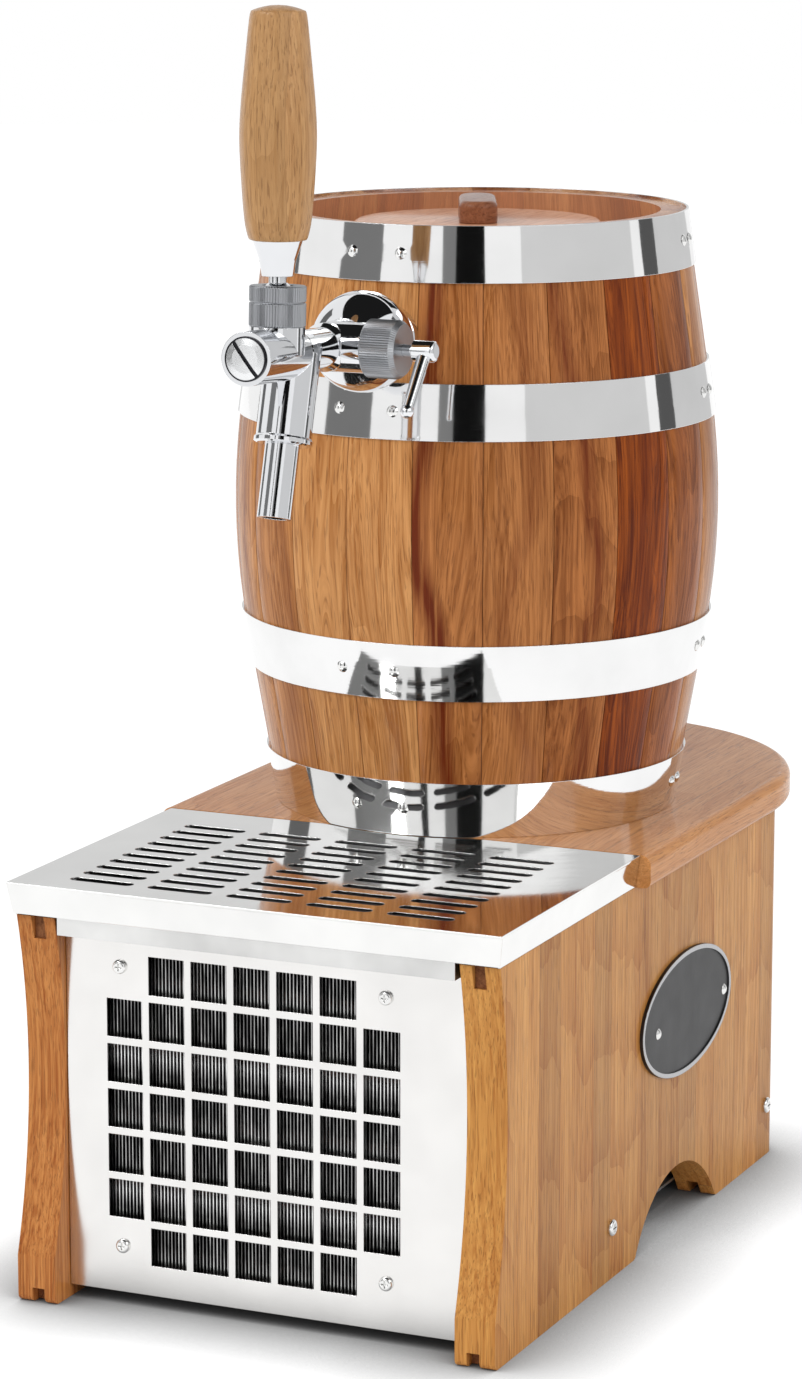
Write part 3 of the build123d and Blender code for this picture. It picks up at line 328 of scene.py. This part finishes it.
def wood(name, pale, dark, axes="YXZ", boards=0.0, rings=60.0, figure=0.02, contrast=1.0, coat=0.6,
         shade=0.12, edge=0.0):
    """Varnished timber. axes are those across, through and along the grain, boards is the width of its glued
    strips, and shade how far their tones differ."""
    material = bpy.data.materials.new(name)
    tree = shader_tree(material)
    parts = add(tree, "ShaderNodeSeparateXYZ", {0: add(tree, "ShaderNodeTexCoord").outputs["Object"]}).outputs
    across, through, along = [parts[axis] for axis in axes]
    seed = one_plank_seed
    local = across
    if boards:
        strips = {"W": across, "Scale": 1 / boards, "Randomness": 0.75}
        cells = add(tree, "ShaderNodeTexVoronoi", strips, voronoi_dimensions="1D").outputs
        chance = add(tree, "ShaderNodeSeparateColor", {0: cells["Color"]}).outputs
        seed = chance[0]
        local = sums(tree, "SUBTRACT", across, cells["W"])
    timber = add(tree, "ShaderNodeGroup", node_tree=timber_grain)
    for label, value in (("Across", local), ("Through", through), ("Along", along), ("Seed", seed),
                         ("Pale", pale), ("Dark", dark), ("Rings", rings), ("Figure", figure),
                         ("Contrast", contrast)):
        set_input(tree, timber.inputs[label], value)
    colour = timber.outputs["Color"]
    if boards:
        low, high = 1 - shade, 1 + shade * 0.6
        tone = blended(tree, chance[1], (low, low * 0.98, low * 0.94, 1), (high, high, high, 1))
        colour = blended(tree, 1.0, colour, tone, "MULTIPLY")
        to_seam = add(tree, "ShaderNodeTexVoronoi", strips, voronoi_dimensions="1D",
                      feature="DISTANCE_TO_EDGE").outputs["Distance"]
        seam = sums(tree, "MULTIPLY", spread(tree, to_seam, 0.016, 0.004), glue_line_share)
        colour = blended(tree, seam, colour, glue_line_colour)
    finish(tree, colour, timber.outputs["Roughness"], timber.outputs["Height"], coat=coat, edge=edge,
           specular=0.12)
    return material


def link(name, bm, material, body, node, smooth=40):
    """New piece from a bmesh, with its material, on a body, standing for a CAD node."""
    mesh = bpy.data.meshes.new(name)
    bmesh.ops.recalc_face_normals(bm, faces=bm.faces)
    bm.to_mesh(mesh)
    bm.free()
    mesh.materials.append(material)
    mesh.shade_smooth()
    mesh.set_sharp_from_angle(angle=math.radians(smooth))
    piece = bpy.data.objects.new(name, mesh)
    bpy.context.scene.collection.objects.link(piece)
    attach(piece, body)
    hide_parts(node)
    return piece


merge_distance = 0.000002
coplanar_angle, eased_angle = math.radians(1), math.radians(35)


def eased(node, name, material, body, width):
    """The CAD node's shape with its sharp edges rounded by a small bevel."""
    bm = bmesh.new()
    bm.from_mesh(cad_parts[node].data)
    bmesh.ops.remove_doubles(bm, verts=bm.verts, dist=merge_distance)
    bmesh.ops.dissolve_limit(bm, angle_limit=coplanar_angle, verts=bm.verts, edges=bm.edges)
    piece = link(name, bm, material, body, node)
    ease = piece.modifiers.new("eased_edges", "BEVEL")
    ease.width = width
    ease.segments = 2
    ease.limit_method = "ANGLE"
    ease.angle_limit = eased_angle
    ease.use_clamp_overlap = True
    ease.harden_normals = True


panel_easing = 0.0012
panel_wood = wood("panel_wood", (0.72, 0.355, 0.095, 1), (0.42, 0.150, 0.030, 1), boards=0.026, figure=0.011,
                  contrast=1.15, coat=0.3, shade=0.26)
# The left panel gets a darker, redder, more contrasty copy of the panel wood, as painted shade on that panel.
left_panel_shaded_wood = wood("left_panel_shaded_wood", (0.60, 0.245, 0.070, 1), (0.33, 0.090, 0.018, 1), boards=0.030, contrast=1.5,
                coat=0.3, shade=0.3)
for side, oak in (("left", left_panel_shaded_wood), ("right", panel_wood)):
    eased(f"side_panel_{side}", f"panel_{side}", oak, "cabinet", panel_easing)


# Splines and foot strips: square strips of a darker, reddish wood, glued into the grooves that run
# along the top and bottom edges of the panels. Their dark colour is partly painted shade, for the shade
# inside the grooves.
def dress(material, *nodes):
    """Material on CAD nodes that keep their shape."""
    for node in nodes:
        for face_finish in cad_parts[node].material_slots:
            face_finish.material = material


spline_wood = wood("spline_wood", (0.34, 0.14, 0.055, 1), (0.15, 0.05, 0.02, 1), axes="XZY", edge=0.0004,
                   coat=0.0)
dress(spline_wood, "top_splines", "foot_strips")


# Screws: polished stainless screws with round heads. Those in the panels hold them to the floor pan
# from outside, and smaller ones hold the front plate and the rear panel.
# Colour of the painted shade that darkens the inside of the drip pan.
painted_shade_colour = (0.15, 0.15, 0.155, 1)


def metal(name, tint, rough, uneven=0.06, grain=(60, 60, 60), bump=0.00001, edge=0.0003, spots=0.0,
          painted_shade_depths=None):
    """Bare metal with faint wipe marks in its roughness and fine tool lines. spots is the share of dull
    patches, and painted_shade_depths the depths between which painted shade turns it dark."""
    material = bpy.data.materials.new(name)
    tree = shader_tree(material)
    place = add(tree, "ShaderNodeTexCoord").outputs["Object"]
    lines = noise(tree, place, grain, 3.0)
    smears = spread(tree, noise(tree, place, (25, 25, 25), 3.0), 0.35, 0.72)
    roughness = totalled(tree, sums(tree, "MULTIPLY", smears, uneven), rough,
                         sums(tree, "MULTIPLY", lines, uneven * 0.6))
    dull = tuple(channel * (0.93 - 0.4 * spots) for channel in tint) + (1,)
    colour = blended(tree, smears, tint + (1,), dull)
    # Painted shade: beyond the given depths the metal turns dark.
    if painted_shade_depths:
        depth = add(tree, "ShaderNodeSeparateXYZ", {0: place}).outputs["Y"]
        colour = blended(tree, spread(tree, depth, *painted_shade_depths), colour, painted_shade_colour)
    finish(tree, colour, roughness, lines, bump=bump, metallic=1.0, edge=edge)
    return material


screw_steel = metal("screw_steel", (0.86, 0.86, 0.85), 0.12, edge=0.0003)
dress(screw_steel, "side_screws", "sheet_screws")


# Board: one wide orange-brown plank on the cabinet, glued up from wide strips that run from front
# to back, with a round back edge. The barrel stands on it and is screwed to it from below.
board_wood = wood("board_wood", (0.76, 0.36, 0.125, 1), (0.46, 0.165, 0.040, 1), axes="XZY", boards=0.062,
                  figure=0.03, contrast=0.8)
eased("base_board", "board", board_wood, "cabinet", 0.0008)
dress(metal("zinc_steel", (0.62, 0.63, 0.62), 0.38, uneven=0.14, spots=0.4), "barrel_screws")


# Drip tray: a folded pan of stainless sheet, painted dark everywhere behind its front wall as painted
# shade, and a slotted cover of polished sheet on its rim. The cover reflects the barrel like a mirror, and
# the painted shade shows its slots black.
mirror_steel = metal("mirror_steel", (0.88, 0.88, 0.87), 0.045, uneven=0.03, grain=(500, 14, 500),
                     edge=0.0005)
dress(mirror_steel, "drip_cover")
pan_front_wall = (-0.2592, -0.2586)
dress(metal("folded_steel", (0.84, 0.84, 0.83), 0.3, uneven=0.1, spots=0.3, painted_shade_depths=pan_front_wall),
      "drip_pan")


# Front plate: a polished sheet with a grid of square holes, held by four small screws, in front of
# the condenser's fins.
dress(metal("plate_steel", (0.85, 0.84, 0.825), 0.16, uneven=0.05, grain=(500, 500, 14), edge=0.0003),
      "front_plate")


# Barrel staves: 22 bent oak staves with their long edges a little rounded, so that a fine dark joint
# shows between them. Each has its own tone, from honey to red-brown, and its own figure.
barrel_axis_y = 0.026375
stave_count = 22
stave_thick = 0.014
stave_foot, stave_head = 0.2245, 0.55
belly_radius, belly_z, belly_arc = 0.1326, 0.391, 0.411
low_taper, high_taper = math.radians(9.93), math.radians(8.47)


def barrel_radius(z):
    """Outer radius of the staves at a height."""
    low, high = belly_z - belly_arc * math.sin(low_taper), belly_z + belly_arc * math.sin(high_taper)
    if z < low:
        return belly_radius - belly_arc * (1 - math.cos(low_taper)) - math.tan(low_taper) * (low - z)
    if z > high:
        return belly_radius - belly_arc * (1 - math.cos(high_taper)) - math.tan(high_taper) * (z - high)
    return belly_radius - belly_arc + math.sqrt(belly_arc ** 2 - (z - belly_z) ** 2)


def profile(bm, points):
    """Closed outline in the plane Y 0 from (radius, height) points, as its edges."""
    corners = [bm.verts.new((radius, 0, height)) for radius, height in points]
    return [bm.edges.new(pair) for pair in zip(corners, corners[1:] + corners[:1])]


stave_rows, stave_steps = 26, 5
joint_angle, edge_rounding = 0.04, 0.0005
stave_angle = 360 / stave_count - joint_angle


def stave(index):
    """Bmesh of one stave, in place, with its plank coordinates."""
    bm = bmesh.new()
    heights = [stave_foot + (stave_head - stave_foot) * row / stave_rows for row in range(stave_rows + 1)]
    outline = [(barrel_radius(z), z) for z in heights]
    outline += [(barrel_radius(z) - stave_thick, z) for z in reversed(heights)]
    edges = profile(bm, outline)
    corners = bm.verts[:]
    first = bm.faces.new(corners)
    bmesh.ops.spin(bm, geom=[first] + edges + corners, cent=(0, 0, 0), axis=(0, 0, 1),
                   angle=math.radians(stave_angle), steps=stave_steps)
    bmesh.ops.remove_doubles(bm, verts=bm.verts, dist=0.000001)
    bmesh.ops.recalc_face_normals(bm, faces=bm.faces)
    long_edges = []
    for edge in bm.edges:
        turns = [math.degrees(math.atan2(corner.co.y, corner.co.x)) for corner in edge.verts]
        outside = [corner.co.xy.length > barrel_radius(corner.co.z) - 0.0001 for corner in edge.verts]
        at_side = all(turn < 0.01 for turn in turns) or all(turn > stave_angle - 0.01 for turn in turns)
        if at_side and all(outside):
            long_edges.append(edge)
    bmesh.ops.bevel(bm, geom=long_edges, offset=edge_rounding, offset_type="OFFSET", segments=2, profile=0.5,
                    affect="EDGES", material=-1)
    plank = bm.verts.layers.float_vector.new("plank")
    for corner in bm.verts:
        turn = math.atan2(corner.co.y, corner.co.x) - math.radians(stave_angle / 2)
        corner[plank] = (turn * belly_radius, barrel_radius(corner.co.z) - corner.co.xy.length, corner.co.z)
    place = math.radians(-90 + (index - 0.5) * 360 / stave_count)
    bmesh.ops.rotate(bm, verts=bm.verts, cent=(0, 0, 0), matrix=Matrix.Rotation(place, 3, "Z"))
    bmesh.ops.translate(bm, verts=bm.verts, vec=(0, barrel_axis_y, 0))
    return bm


stave_tones = (0.20, 0.60, 0.58, 0.68, 1.0, 0.80, 0.40, 0.62, 0.20, 0.75, 0.40, 0.15, 0.66, 0.35, 0.80, 0.25,
               0.55, 0.12, 0.45, 0.35, 0.42, 0.16)
stave_veins = (0.10, 1.0, 0.35, 0.70, 0.45, 0.3, 0.1, 0.5, 0.2, 0.8, 0.2, 0.1, 0.6, 0.2, 0.7, 0.2,
               0.3, 0.1, 0.4, 0.5, 0.35, 0.15)
first_seed, seed_step = 0.11, 0.618034
all_staves = bmesh.new()
for index in range(stave_count):
    bm = stave(index)
    for label, value in (("seed", (index * seed_step + first_seed) % 1.0), ("tone", stave_tones[index]),
                         ("vein", stave_veins[index])):
        layer = bm.verts.layers.float.new(label)
        for corner in bm.verts:
            corner[layer] = value
    one_stave = bpy.data.meshes.new("one_stave")
    bm.to_mesh(one_stave)
    bm.free()
    all_staves.from_mesh(one_stave)
    bpy.data.meshes.remove(one_stave)

vein_width, vein_sway, vein_shift = 0.0080, 0.09, 0.024
vein_colour = (0.15, 0.022, 0.003, 1)
joint_band, joint_share, joint_colour = (0.01845, 0.0188), 0.25, (0.05, 0.02, 0.01, 1)
bare_band, bare_share, bare_colour = (0.003, 0.012), 0.55, (0.64, 0.33, 0.20, 1)
stave_wood = bpy.data.materials.new("stave_wood")
tree = shader_tree(stave_wood)
across, through, along = add(tree, "ShaderNodeSeparateXYZ", {
    0: add(tree, "ShaderNodeAttribute", attribute_name="plank").outputs["Vector"]}).outputs
tone, seed, vein_strength = [add(tree, "ShaderNodeAttribute", attribute_name=label).outputs["Fac"]
                             for label in ("tone", "seed", "vein")]
timber = add(tree, "ShaderNodeGroup", node_tree=timber_grain)
pale = blended(tree, tone, (0.78, 0.40, 0.150, 1), (0.40, 0.090, 0.010, 1))
dark = blended(tree, tone, (0.44, 0.160, 0.036, 1), (0.12, 0.018, 0.002, 1))
for label, value in (("Across", across), ("Through", through), ("Along", along), ("Seed", seed),
                     ("Pale", pale), ("Dark", dark), ("Rings", 40.0), ("Figure", 0.05), ("Contrast", 1.5)):
    set_input(tree, timber.inputs[label], value)
by_seed = add(tree, "ShaderNodeCombineXYZ", {0: across, 1: seed, 2: along}).outputs[0]
sway = sums(tree, "MULTIPLY", sums(tree, "SUBTRACT", noise(tree, by_seed, (6, 40, 6.5), 1.0), 0.5), vein_sway)
shift = sums(tree, "MULTIPLY", sums(tree, "SUBTRACT", seed, 0.5), vein_shift)
off_vein = sums(tree, "ABSOLUTE", totalled(tree, across, sway, shift))
vein = sums(tree, "POWER", spread(tree, off_vein, vein_width, 0.0), 0.8)
vein = sums(tree, "MULTIPLY", vein, vein_strength)
patchy = sums(tree, "ADD", spread(tree, noise(tree, by_seed, (420, 40, 9), 3.0), 0.3, 0.6), 0.25)
vein = sums(tree, "MULTIPLY", vein, patchy, clamp=True)
joint = spread(tree, sums(tree, "ABSOLUTE", across), *joint_band)
bare = spread(tree, through, *bare_band)
colour = blended(tree, vein, timber.outputs["Color"], vein_colour)
colour = blended(tree, sums(tree, "MULTIPLY", joint, joint_share), colour, joint_colour)
colour = blended(tree, sums(tree, "MULTIPLY", bare, bare_share), colour, bare_colour)
finish(tree, colour, timber.outputs["Roughness"], timber.outputs["Height"], coat=0.6, specular=0.06)
link("staves", all_staves, stave_wood, "cabinet", "barrel_staves", smooth=35)


# Hoops and rivets: four bands of polished stainless strip, driven onto the staves. Domed steel rivets
# close each band.
dress(metal("hoop_steel", (0.86, 0.86, 0.86), 0.035, uneven=0.025, grain=(30, 30, 900), edge=0.0004),
      "barrel_hoops")
dress(metal("rivet_steel", (0.84, 0.84, 0.83), 0.09, edge=0.0002), "dome_rivets")


# Barrel heads, lid and knob: flat turned oak. The heads sit in the staves, and the upper one has a hole
# for the lid, which is a little pinker and lifts out by its dark knob.
head_wood = wood("head_wood", (0.70, 0.34, 0.18, 1), (0.40, 0.165, 0.075, 1), axes="XZY", boards=0.055,
                 edge=0.0006)
dress(head_wood, "barrel_bottom_head", "barrel_top_head")
lid_wood = wood("lid_wood", (0.90, 0.48, 0.29, 1), (0.62, 0.27, 0.14, 1), axes="XZY", boards=0.048,
                figure=0.03)
eased("barrel_lid", "lid", lid_wood, "lid", 0.0006)
knob_wood = wood("knob_wood", (0.34, 0.135, 0.065, 1), (0.17, 0.055, 0.025, 1), axes="XZY", figure=0.03)
eased("lid_knob", "knob", knob_wood, "lid", 0.0008)


# Tap: cast and turned brass, polished and chrome-plated, with a plain turned shank through the stave
# and its nut. It mirrors the white studio with hard grey and black bands.
chrome = metal("chrome", (0.80, 0.81, 0.83), 0.03, uneven=0.02, grain=(120, 120, 120), bump=0.000006,
               edge=0.0005)
dress(chrome, "tap_body", "tap_flange", "compensator_shaft", "lever", "handle_ferrule", "spout",
      "spout_nozzle", "valve_shaft", "compensator_cone")
dress(metal("turned_steel", (0.70, 0.70, 0.69), 0.24, uneven=0.12, grain=(900, 60, 900), spots=0.3), "shank",
      "shank_nut")


# Soft seals and mounts: moulded of black rubber. The seal is pressed onto the valve's shaft, the
# washer lies behind the stave, and the mounts stand under the compressor.
scuff_colour = (0.75, 0.74, 0.71, 1)


def soft(name, tint, rough, scale=400.0, bump=0.00006, specular=0.4, patches=0.2):
    """Rubber, plastic, paint or foam: fine relief, and patches that are a little paler."""
    material = bpy.data.materials.new(name)
    tree = shader_tree(material)
    place = add(tree, "ShaderNodeTexCoord").outputs["Object"]
    fine = noise(tree, place, (scale, scale, scale), 2.0)
    wide = spread(tree, noise(tree, place, (28, 28, 28), 3.0), 0.3, 0.75)
    colour = blended(tree, sums(tree, "MULTIPLY", wide, patches), tint + (1,), scuff_colour)
    roughness = sums(tree, "ADD", sums(tree, "MULTIPLY", wide, 0.12), rough)
    finish(tree, colour, roughness, fine, bump=bump, edge=0.0003, specular=specular)
    return material


dress(soft("black_rubber", (0.018, 0.018, 0.018), 0.62, patches=0.03), "valve_seal", "shank_washer",
      "compressor_mounts")


# Knurled cap and collar: satin drums whose outside is cut into fine upright ridges for the fingers.
# The cap closes the flow compensator on the right, and the collar holds the lever's ball.
ridge_deep = 0.0004


def turned(points, steps):
    """Bmesh of a ring or a solid, turned about the upright axis from a closed (radius, height) outline."""
    bm = bmesh.new()
    edges = profile(bm, points)
    bmesh.ops.spin(bm, geom=edges + bm.verts[:], cent=(0, 0, 0), axis=(0, 0, 1), angle=math.radians(360),
                   steps=steps, use_merge=True)
    bmesh.ops.remove_doubles(bm, verts=bm.verts, dist=merge_distance)
    return bm


def knurled(outline, teeth):
    """Turned bmesh whose widest wall is cut into ridges."""
    widest = max(radius for radius, height in outline)
    steps = teeth * 2
    bm = turned(outline, steps)
    for corner in bm.verts:
        radius = corner.co.xy.length
        step = round(math.atan2(corner.co.y, corner.co.x) / (2 * math.pi) * steps)
        if step % 2 and radius > widest - 0.00002:
            corner.co.x *= (radius - ridge_deep) / radius
            corner.co.y *= (radius - ridge_deep) / radius
    return bm


def placed(bm, *moves):
    """Bmesh moved by matrices, the last one first."""
    for move in reversed(moves):
        bmesh.ops.transform(bm, matrix=move, verts=bm.verts)
    return bm


satin_chrome = metal("satin_chrome", (0.40, 0.41, 0.43), 0.26, uneven=0.1, grain=(300, 300, 300), edge=0.0002)
tap_place, tap_tilt = (0, -0.096125, 0.4926), math.radians(-2.8)
tap_pose = Matrix.Translation(tap_place) @ Matrix.Rotation(tap_tilt, 4, "X")
collar_outline = [(0.0121, -0.0150), (0.01365, -0.0150), (0.01425, -0.0144), (0.01425, -0.0036),
                  (0.01365, -0.0031), (0.01365, -0.0029), (0.01425, -0.0024), (0.01425, 0.0046),
                  (0.01355, 0.0053), (0.0079, 0.0053), (0.0079, 0.0030), (0.0084, 0.0), (0.0084, -0.0049),
                  (0.0121, -0.0049)]
collar_place, collar_teeth = (0, -0.13107, 0.02903), 64
collar = placed(knurled(collar_outline, collar_teeth), tap_pose, Matrix.Translation(collar_place))
link("collar", collar, satin_chrome, "cabinet", "collar_nut", smooth=25)
cap_outline = [(0.0031, 0.0), (0.0142, 0.0), (0.015, 0.0008), (0.015, 0.0165), (0.0130, 0.019),
               (0.0031, 0.019)]
cap_place, cap_teeth = (0.021, -0.066, 0), 72
cap = placed(knurled(cap_outline, cap_teeth), tap_pose, Matrix.Translation(cap_place),
             Matrix.Rotation(math.radians(90), 4, "Y"))
link("cap", cap, satin_chrome, "cabinet", "compensator_cap", smooth=25)
dress(chrome, "compensator_lever")


# Front plug: turned brass, chrome-plated and screwed into the front end of the tap. Painted shade darkens
# its edge, where a gap runs round it, and the inside of its screwdriver slot.
plug_edge, slot_depth = (0.0101, 0.0105), (-0.1670, -0.1668)
plug_tint, painted_shade_tint = (0.86, 0.87, 0.88, 1), (0.03, 0.03, 0.034, 1)
plug_chrome = bpy.data.materials.new("plug_chrome")
tree = shader_tree(plug_chrome)
place = add(tree, "ShaderNodeMapping", {"Vector": add(tree, "ShaderNodeTexCoord").outputs["Object"],
                                        "Location": tap_pose.to_translation(),
                                        "Rotation": tap_pose.to_euler()}, vector_type="TEXTURE").outputs[0]
along_tap = add(tree, "ShaderNodeSeparateXYZ", {0: place}).outputs["Y"]
off_axis = add(tree, "ShaderNodeVectorMath", {0: times(tree, place, (1, 0, 1))},
               operation="LENGTH").outputs["Value"]
# Painted shade in the gap round the plug's edge and inside its slot.
painted_shade_mask = sums(tree, "MAXIMUM", spread(tree, off_axis, *plug_edge), spread(tree, along_tap, *slot_depth))
fine = noise(tree, place, (900, 900, 900), 2.0)
colour = blended(tree, painted_shade_mask, plug_tint, painted_shade_tint)
finish(tree, colour, sums(tree, "ADD", sums(tree, "MULTIPLY", fine, 0.2), 0.16), fine, bump=0.000006,
       metallic=1.0, edge=0.0002)
dress(plug_chrome, "front_plug")


# Handle grip: turned from pale oak, then shaved to eight soft flats, and screwed onto the neck of the
# lever down to the flared ferrule.
def rounded_through(points, steps):
    """Points of a smooth curve through the given ones."""
    curve = []
    ends = [points[0]] + list(points) + [points[-1]]
    for a, b, c, d in zip(ends, ends[1:], ends[2:], ends[3:]):
        for step in range(steps):
            t = step / steps
            curve.append(tuple(0.5 * (2 * q + (r - p) * t + (2 * p - 5 * q + 4 * r - s) * t * t
                                      + (3 * q - p - 3 * r + s) * t ** 3) for p, q, r, s in zip(a, b, c, d)))
    return curve + [points[-1]]


grip_points = ((0.0130, 0.0), (0.0150, 0.0015), (0.0172, 0.014), (0.01925, 0.0463), (0.0186, 0.066),
               (0.0169, 0.0845), (0.0146, 0.107), (0.0136, 0.112))
grip_base, grip_top, crown_radius = 0.0277, 0.1426, 0.0333
bore_radius, bore_top = 0.0046, 0.040
flat_angle, flat_start, flat_deep = math.radians(45), math.radians(24), 0.034
grip_place, grip_lean = (0, -0.225625, 0.528), math.radians(-1)
outline = [(radius, grip_base + height) for radius, height in rounded_through(grip_points, 6)]
for radius in (0.0122, 0.0102, 0.0075, 0.0040, 0.0):
    outline.append((radius, grip_top - crown_radius + math.sqrt(crown_radius ** 2 - radius ** 2)))
outline += [(0.0, bore_top), (bore_radius, bore_top), (bore_radius, grip_base)]
grip = turned(outline, 96)
for corner in grip.verts:
    if corner.co.xy.length > 0.006:
        turn = math.atan2(corner.co.y, corner.co.x) + flat_start
        off_edge = abs((turn / flat_angle) % 1 - 0.5) * 2
        corner.co.x *= 1 - flat_deep * (1 - off_edge ** 2)
        corner.co.y *= 1 - flat_deep * (1 - off_edge ** 2)
placed(grip, Matrix.Translation(grip_place), Matrix.Rotation(grip_lean, 4, "X"))
grip_wood = wood("grip_wood", (0.66, 0.38, 0.170, 1), (0.40, 0.195, 0.070, 1), axes="XYZ", boards=0.014,
                 rings=70.0, figure=0.012, contrast=0.9, shade=0.22)
link("grip", grip, grip_wood, "handle", "handle_grip", smooth=60)


# Nameplate: a blackened cast oval with a raised, polished rim and a bare field. Two domed rivets hold
# it to the right panel.
rim_face, rim_tint = (0.1368, 0.1370), (0.42, 0.42, 0.43, 1)
plate_metal = bpy.data.materials.new("plate_metal")
tree = shader_tree(plate_metal)
place = add(tree, "ShaderNodeTexCoord").outputs["Object"]
grains = noise(tree, place, (1100, 1100, 1100), 2.0)
clouds = noise(tree, place, (60, 60, 60), 3.0)
raised = spread(tree, add(tree, "ShaderNodeSeparateXYZ", {0: place}).outputs["X"], *rim_face)
field = blended(tree, clouds, (0.02, 0.02, 0.021, 1), (0.075, 0.075, 0.078, 1))
colour = blended(tree, raised, field, rim_tint)
rough = sums(tree, "SUBTRACT", 0.42, sums(tree, "MULTIPLY", raised, 0.2))
finish(tree, colour, rough, grains, bump=0.00012, metallic=0.9, edge=0.0004)
dress(plate_metal, "nameplate")


# Cabinet metalwork: the floor pan and the bracket of bright galvanised sheet, and a brushed stainless
# rear panel with vents, which its screws hold to the floor pan and the board.
dress(metal("galvanised", (0.60, 0.62, 0.63), 0.34, uneven=0.16, grain=(40, 40, 40), spots=0.5), "floor_pan",
      "fan_bracket")
dress(metal("brushed_sheet", (0.66, 0.66, 0.65), 0.28, uneven=0.08, grain=(14, 600, 700), bump=0.00002),
      "rear_panel")


# Condenser and fan: a black painted frame and shroud, a pack of thin aluminium fins on copper tubes
# that shows through the squares of the front plate, and a plastic fan on its motor.
dress(soft("black_paint", (0.022, 0.022, 0.024), 0.36, scale=900.0, bump=0.00003, patches=0.03),
      "condenser_frame", "fan_shroud", "compressor")
# Painted highlight: white bands across the fins at every other tube height, where light glints on the tubes.
lowest_tube, tube_pitch = 0.0605, 0.0365
painted_highlight_reach = (0.0085, 0.001)
fin_metal = bpy.data.materials.new("fin_metal")
tree = shader_tree(fin_metal)
place = add(tree, "ShaderNodeTexCoord").outputs["Object"]
streaks = spread(tree, noise(tree, place, (900, 4, 38), 2.0), 0.42, 0.66)
dust = noise(tree, place, (260, 260, 260), 3.0)
height = add(tree, "ShaderNodeSeparateXYZ", {0: place}).outputs["Z"]
over_tube = sums(tree, "SUBTRACT", height, lowest_tube)
off_tube = sums(tree, "PINGPONG", over_tube, tube_pitch / 2)
every_other = spread(tree, sums(tree, "PINGPONG", over_tube, tube_pitch), 0.05, 0.0)
painted_tube_highlight = sums(tree, "MULTIPLY", spread(tree, off_tube, *painted_highlight_reach), every_other)
colour = blended(tree, streaks, (0.15, 0.15, 0.15, 1), (0.70, 0.70, 0.69, 1))
colour = blended(tree, painted_tube_highlight, colour, (1.0, 1.0, 1.0, 1))
finish(tree, colour, sums(tree, "ADD", sums(tree, "MULTIPLY", dust, 0.3), 0.2), dust, bump=0.00003,
       metallic=1.0)
dress(fin_metal, "condenser_fins")
dress(metal("copper_tube", (0.72, 0.36, 0.22), 0.24, uneven=0.16, grain=(60, 60, 60), spots=0.6),
      "condenser_tubes", "refrigerant_lines", "filter_drier")
dress(soft("fan_plastic", (0.03, 0.03, 0.032), 0.42, patches=0.04), "fan_rotor")
dress(metal("motor_steel", (0.42, 0.42, 0.43), 0.36, uneven=0.14, spots=0.4), "fan_motor")


# Cooling block and beer lines: a block of cast aluminium in a shell of closed-cell foam, with hoses of
# milky plastic pushed into it.
dress(metal("cast_aluminium", (0.66, 0.66, 0.65), 0.42, uneven=0.16, grain=(700, 700, 700), bump=0.00008),
      "cooling_block")
dress(soft("cell_foam", (0.055, 0.055, 0.058), 0.78, scale=1500.0, bump=0.0003, patches=0.08),
      "block_insulation")
dress(soft("milky_hose", (0.66, 0.66, 0.62), 0.32, scale=120.0, patches=0.15, specular=0.5), "beer_lines")


# Rear fittings: moulded plastic, clipped into the rear panel. The push-fit inlet for the hose is grey,
# and the thermostat, the switch and the power inlet are black.
dress(soft("grey_plastic", (0.34, 0.35, 0.36), 0.4, patches=0.1), "beer_inlet")
dress(soft("black_plastic", (0.02, 0.02, 0.021), 0.38, patches=0.04), "thermostat_body", "thermostat_knob",
      "rocker_frame", "power_inlet")
dress(soft("rocker_plastic", (0.045, 0.045, 0.047), 0.24, scale=200.0, patches=0.04), "rocker")
